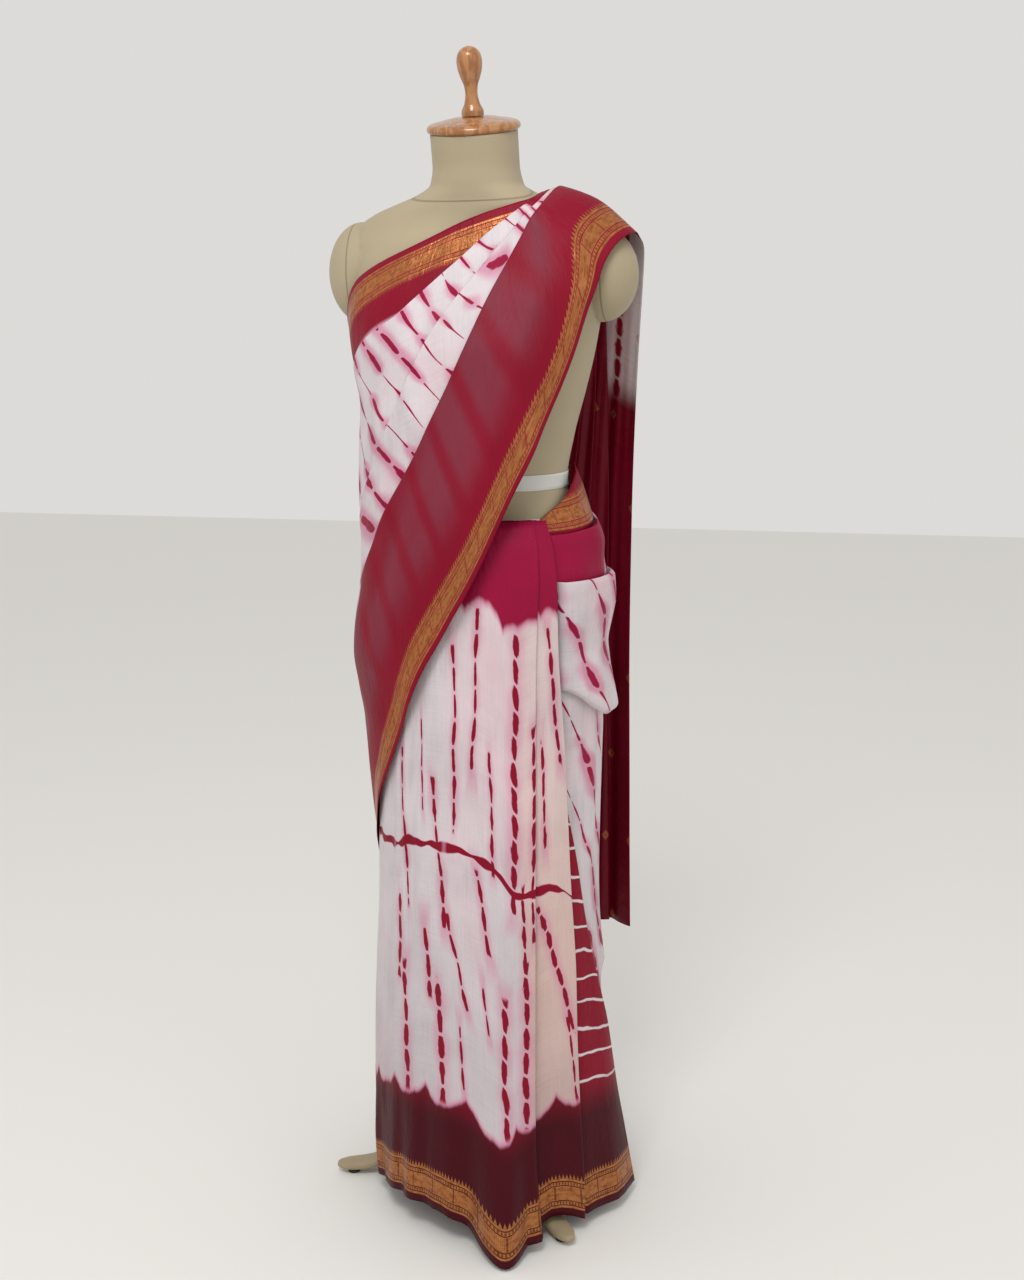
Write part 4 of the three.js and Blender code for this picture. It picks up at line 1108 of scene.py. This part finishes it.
def fall_row(s):
    row = station(FALL, s, bend=FALL_BEND, hem=2)
    t, layer, _ = fold_stops(row)[..., None]
    inner = np.array([row["in_x"], row["in_y"], row["in_z"]])
    outer = np.array([row["out_x"], row["out_y"], row["out_z"]])
    near, far = (station(FALL, s + off) for off in (-.1, .1))
    ahead = [0, far["in_y"] - near["in_y"], far["in_z"] - near["in_z"]]
    out = np.cross(outer - inner, ahead)
    out /= np.linalg.norm(out)
    gape = 1 + 1.6 * float(smooth(11, 14, s))
    hang = float(smooth(10.5, 13, s))
    sway = hang * (1.6 * np.sin(t * 31 + s * .4) + 1.1 * np.sin(t * 53 + 1.3))
    lift = PLEAT_RISE * gape * layer + 4 * row["bow"] * t * (1 - t) + sway
    return mix(inner, outer, t) + out * lift


def sheet_row(s):
    last, first = CHEST["s"][-1], FALL["s"][0]
    if s <= last:
        return chest_row(s)
    if s >= first:
        return fall_row(s)
    a, b = chest_row(last), fall_row(first)
    slope_a = (a - chest_row(last - .05)) / .05
    slope_b = (fall_row(first + .05) - b) / .05
    return hermite(a, b, slope_a, slope_b, s - last)


def upper_strip(node, stations, materials, look, start=0.0):
    grid = np.stack([sheet_row(s) for s in stations])
    pleat = fold_stops(station(CHEST, 0, bend=CHEST_BEND))[2]
    across = lengths(grid, 1)
    v = np.where(pleat == 3, across[:, -1:] - across, WIDTH - across)
    along = start + lengths(grid, 0).mean(axis=1)
    uv = np.stack([np.broadcast_to(along[:, None], v.shape), v], -1)
    return cloth_piece(node, grid, uv, materials, look)


def upper_sheet(chest_material, pallu_material, inner_material):
    stations = np.linspace(0, SHOULDER, 190)
    chest = upper_strip("chest_drape", stations, [chest_material], 0.0, BACK_END)
    stations = np.linspace(SHOULDER + .01, FALL["s"][-1], 150)
    pallu = upper_strip("pallu_fall", stations, [pallu_material, inner_material], 1.0)


def stage_and_light():
    bpy.ops.mesh.primitive_plane_add(size=14)
    floor = bpy.context.object
    floor.name = "stage_floor"
    sh = Shader("pale floor")
    floor.data.materials.append(sh.finish(Base_Color=FLOOR, Roughness=.9))
    world = bpy.data.worlds.new("studio")
    bpy.context.scene.world = world
    bpy.context.scene.view_settings.view_transform = "Standard"
    world.use_nodes = True
    backdrop = world.node_tree.nodes["Background"]
    backdrop.inputs[0].default_value = DAYLIGHT
    backdrop.inputs[1].default_value = DAYLIGHT_STRENGTH
    for i, (azimuth, elevation, away, size, watts) in enumerate(LIGHTS):
        lamp = bpy.data.lights.new(f"soft light {i}", "AREA")
        lamp.energy = watts
        lamp.size = size
        back = backward(math.radians(azimuth), math.radians(elevation))
        place = back * away + [0, 0, AIM_HEIGHT]
        linked(lamp.name, lamp).matrix_world = looking(place, back, 0)


# Direction from the part to a lamp or camera
def backward(azimuth, elevation):
    return np.array([math.sin(azimuth) * math.cos(elevation),
                     -math.cos(azimuth) * math.cos(elevation), math.sin(elevation)])


def looking(position, back, roll):
    right = np.cross([0, 0, 1], back)
    right /= np.linalg.norm(right)
    up = np.cross(back, right)
    c, s = math.cos(roll), math.sin(roll)
    right, up = c * right + s * up, c * up - s * right
    matrix = np.eye(4)
    matrix[:3, 0], matrix[:3, 1], matrix[:3, 2], matrix[:3, 3] = right, up, back, position
    return Matrix(matrix.tolist())


def camera():
    azimuth, pitch, roll = (math.radians(CAMERA[key]) for key in ("azimuth", "pitch", "roll"))
    s, c = math.sin(azimuth), math.cos(azimuth)
    away, aside = CAMERA["away"], CAMERA["aside"]
    position = np.array([s * away + c * aside, -c * away + s * aside, CAMERA["height"]]) + SHIFT
    data = bpy.data.cameras.new("camera")
    data.sensor_width = SENSOR
    data.lens = SENSOR * FOCAL_LENGTH / FRAME_HEIGHT
    holder = linked("camera", data)
    holder.matrix_world = looking(position, backward(azimuth, pitch), roll)
    bpy.context.scene.camera = holder


# Solids that show as they are
def carried_over(names, material):
    for name in names:
        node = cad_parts[name]
        node.data.materials.clear()
        node.data.materials.append(material)


camera()
honey = wood()
paint = stand_paint()
torso(canvas())
waist_tape(satin_tape())
lathe("neck_cap_turned", "neck_cap", CAP_PROFILE, 0.0, honey)
lathe("finial_turned", "finial", FINIAL_PROFILE, CAP_PROFILE[-1][1] + SEAM_GAP, honey)
legs(paint)
carried_over(("hub", "pole"), paint)
carried_over(("form_socket",), honey)
carried_over(("foot_pad_1", "foot_pad_2", "foot_pad_3"), rubber())
skirt_wrap(dyed_silk("wrap silk", .15, .1, wine_and_shade_hem=True))
front_pleats(front_silk())
hip_fall(dyed_silk("hip silk", -.1, -.1, lean=.5, line=.008))
hip_band(dyed_silk("hip band silk", -.1, -.1, lean=.5, line=.008, top_dye=CRIMSON))
hip_collar(dyed_silk("collar silk", .1, .1, line=0))
back_wrap(dyed_silk("back silk", .2, .1, line=.0072))
upper_sheet(chest_silk(), dyed_silk("pallu silk", .02, .09, line=0, deep=.3), pallu_inner_silk())
stage_and_light()
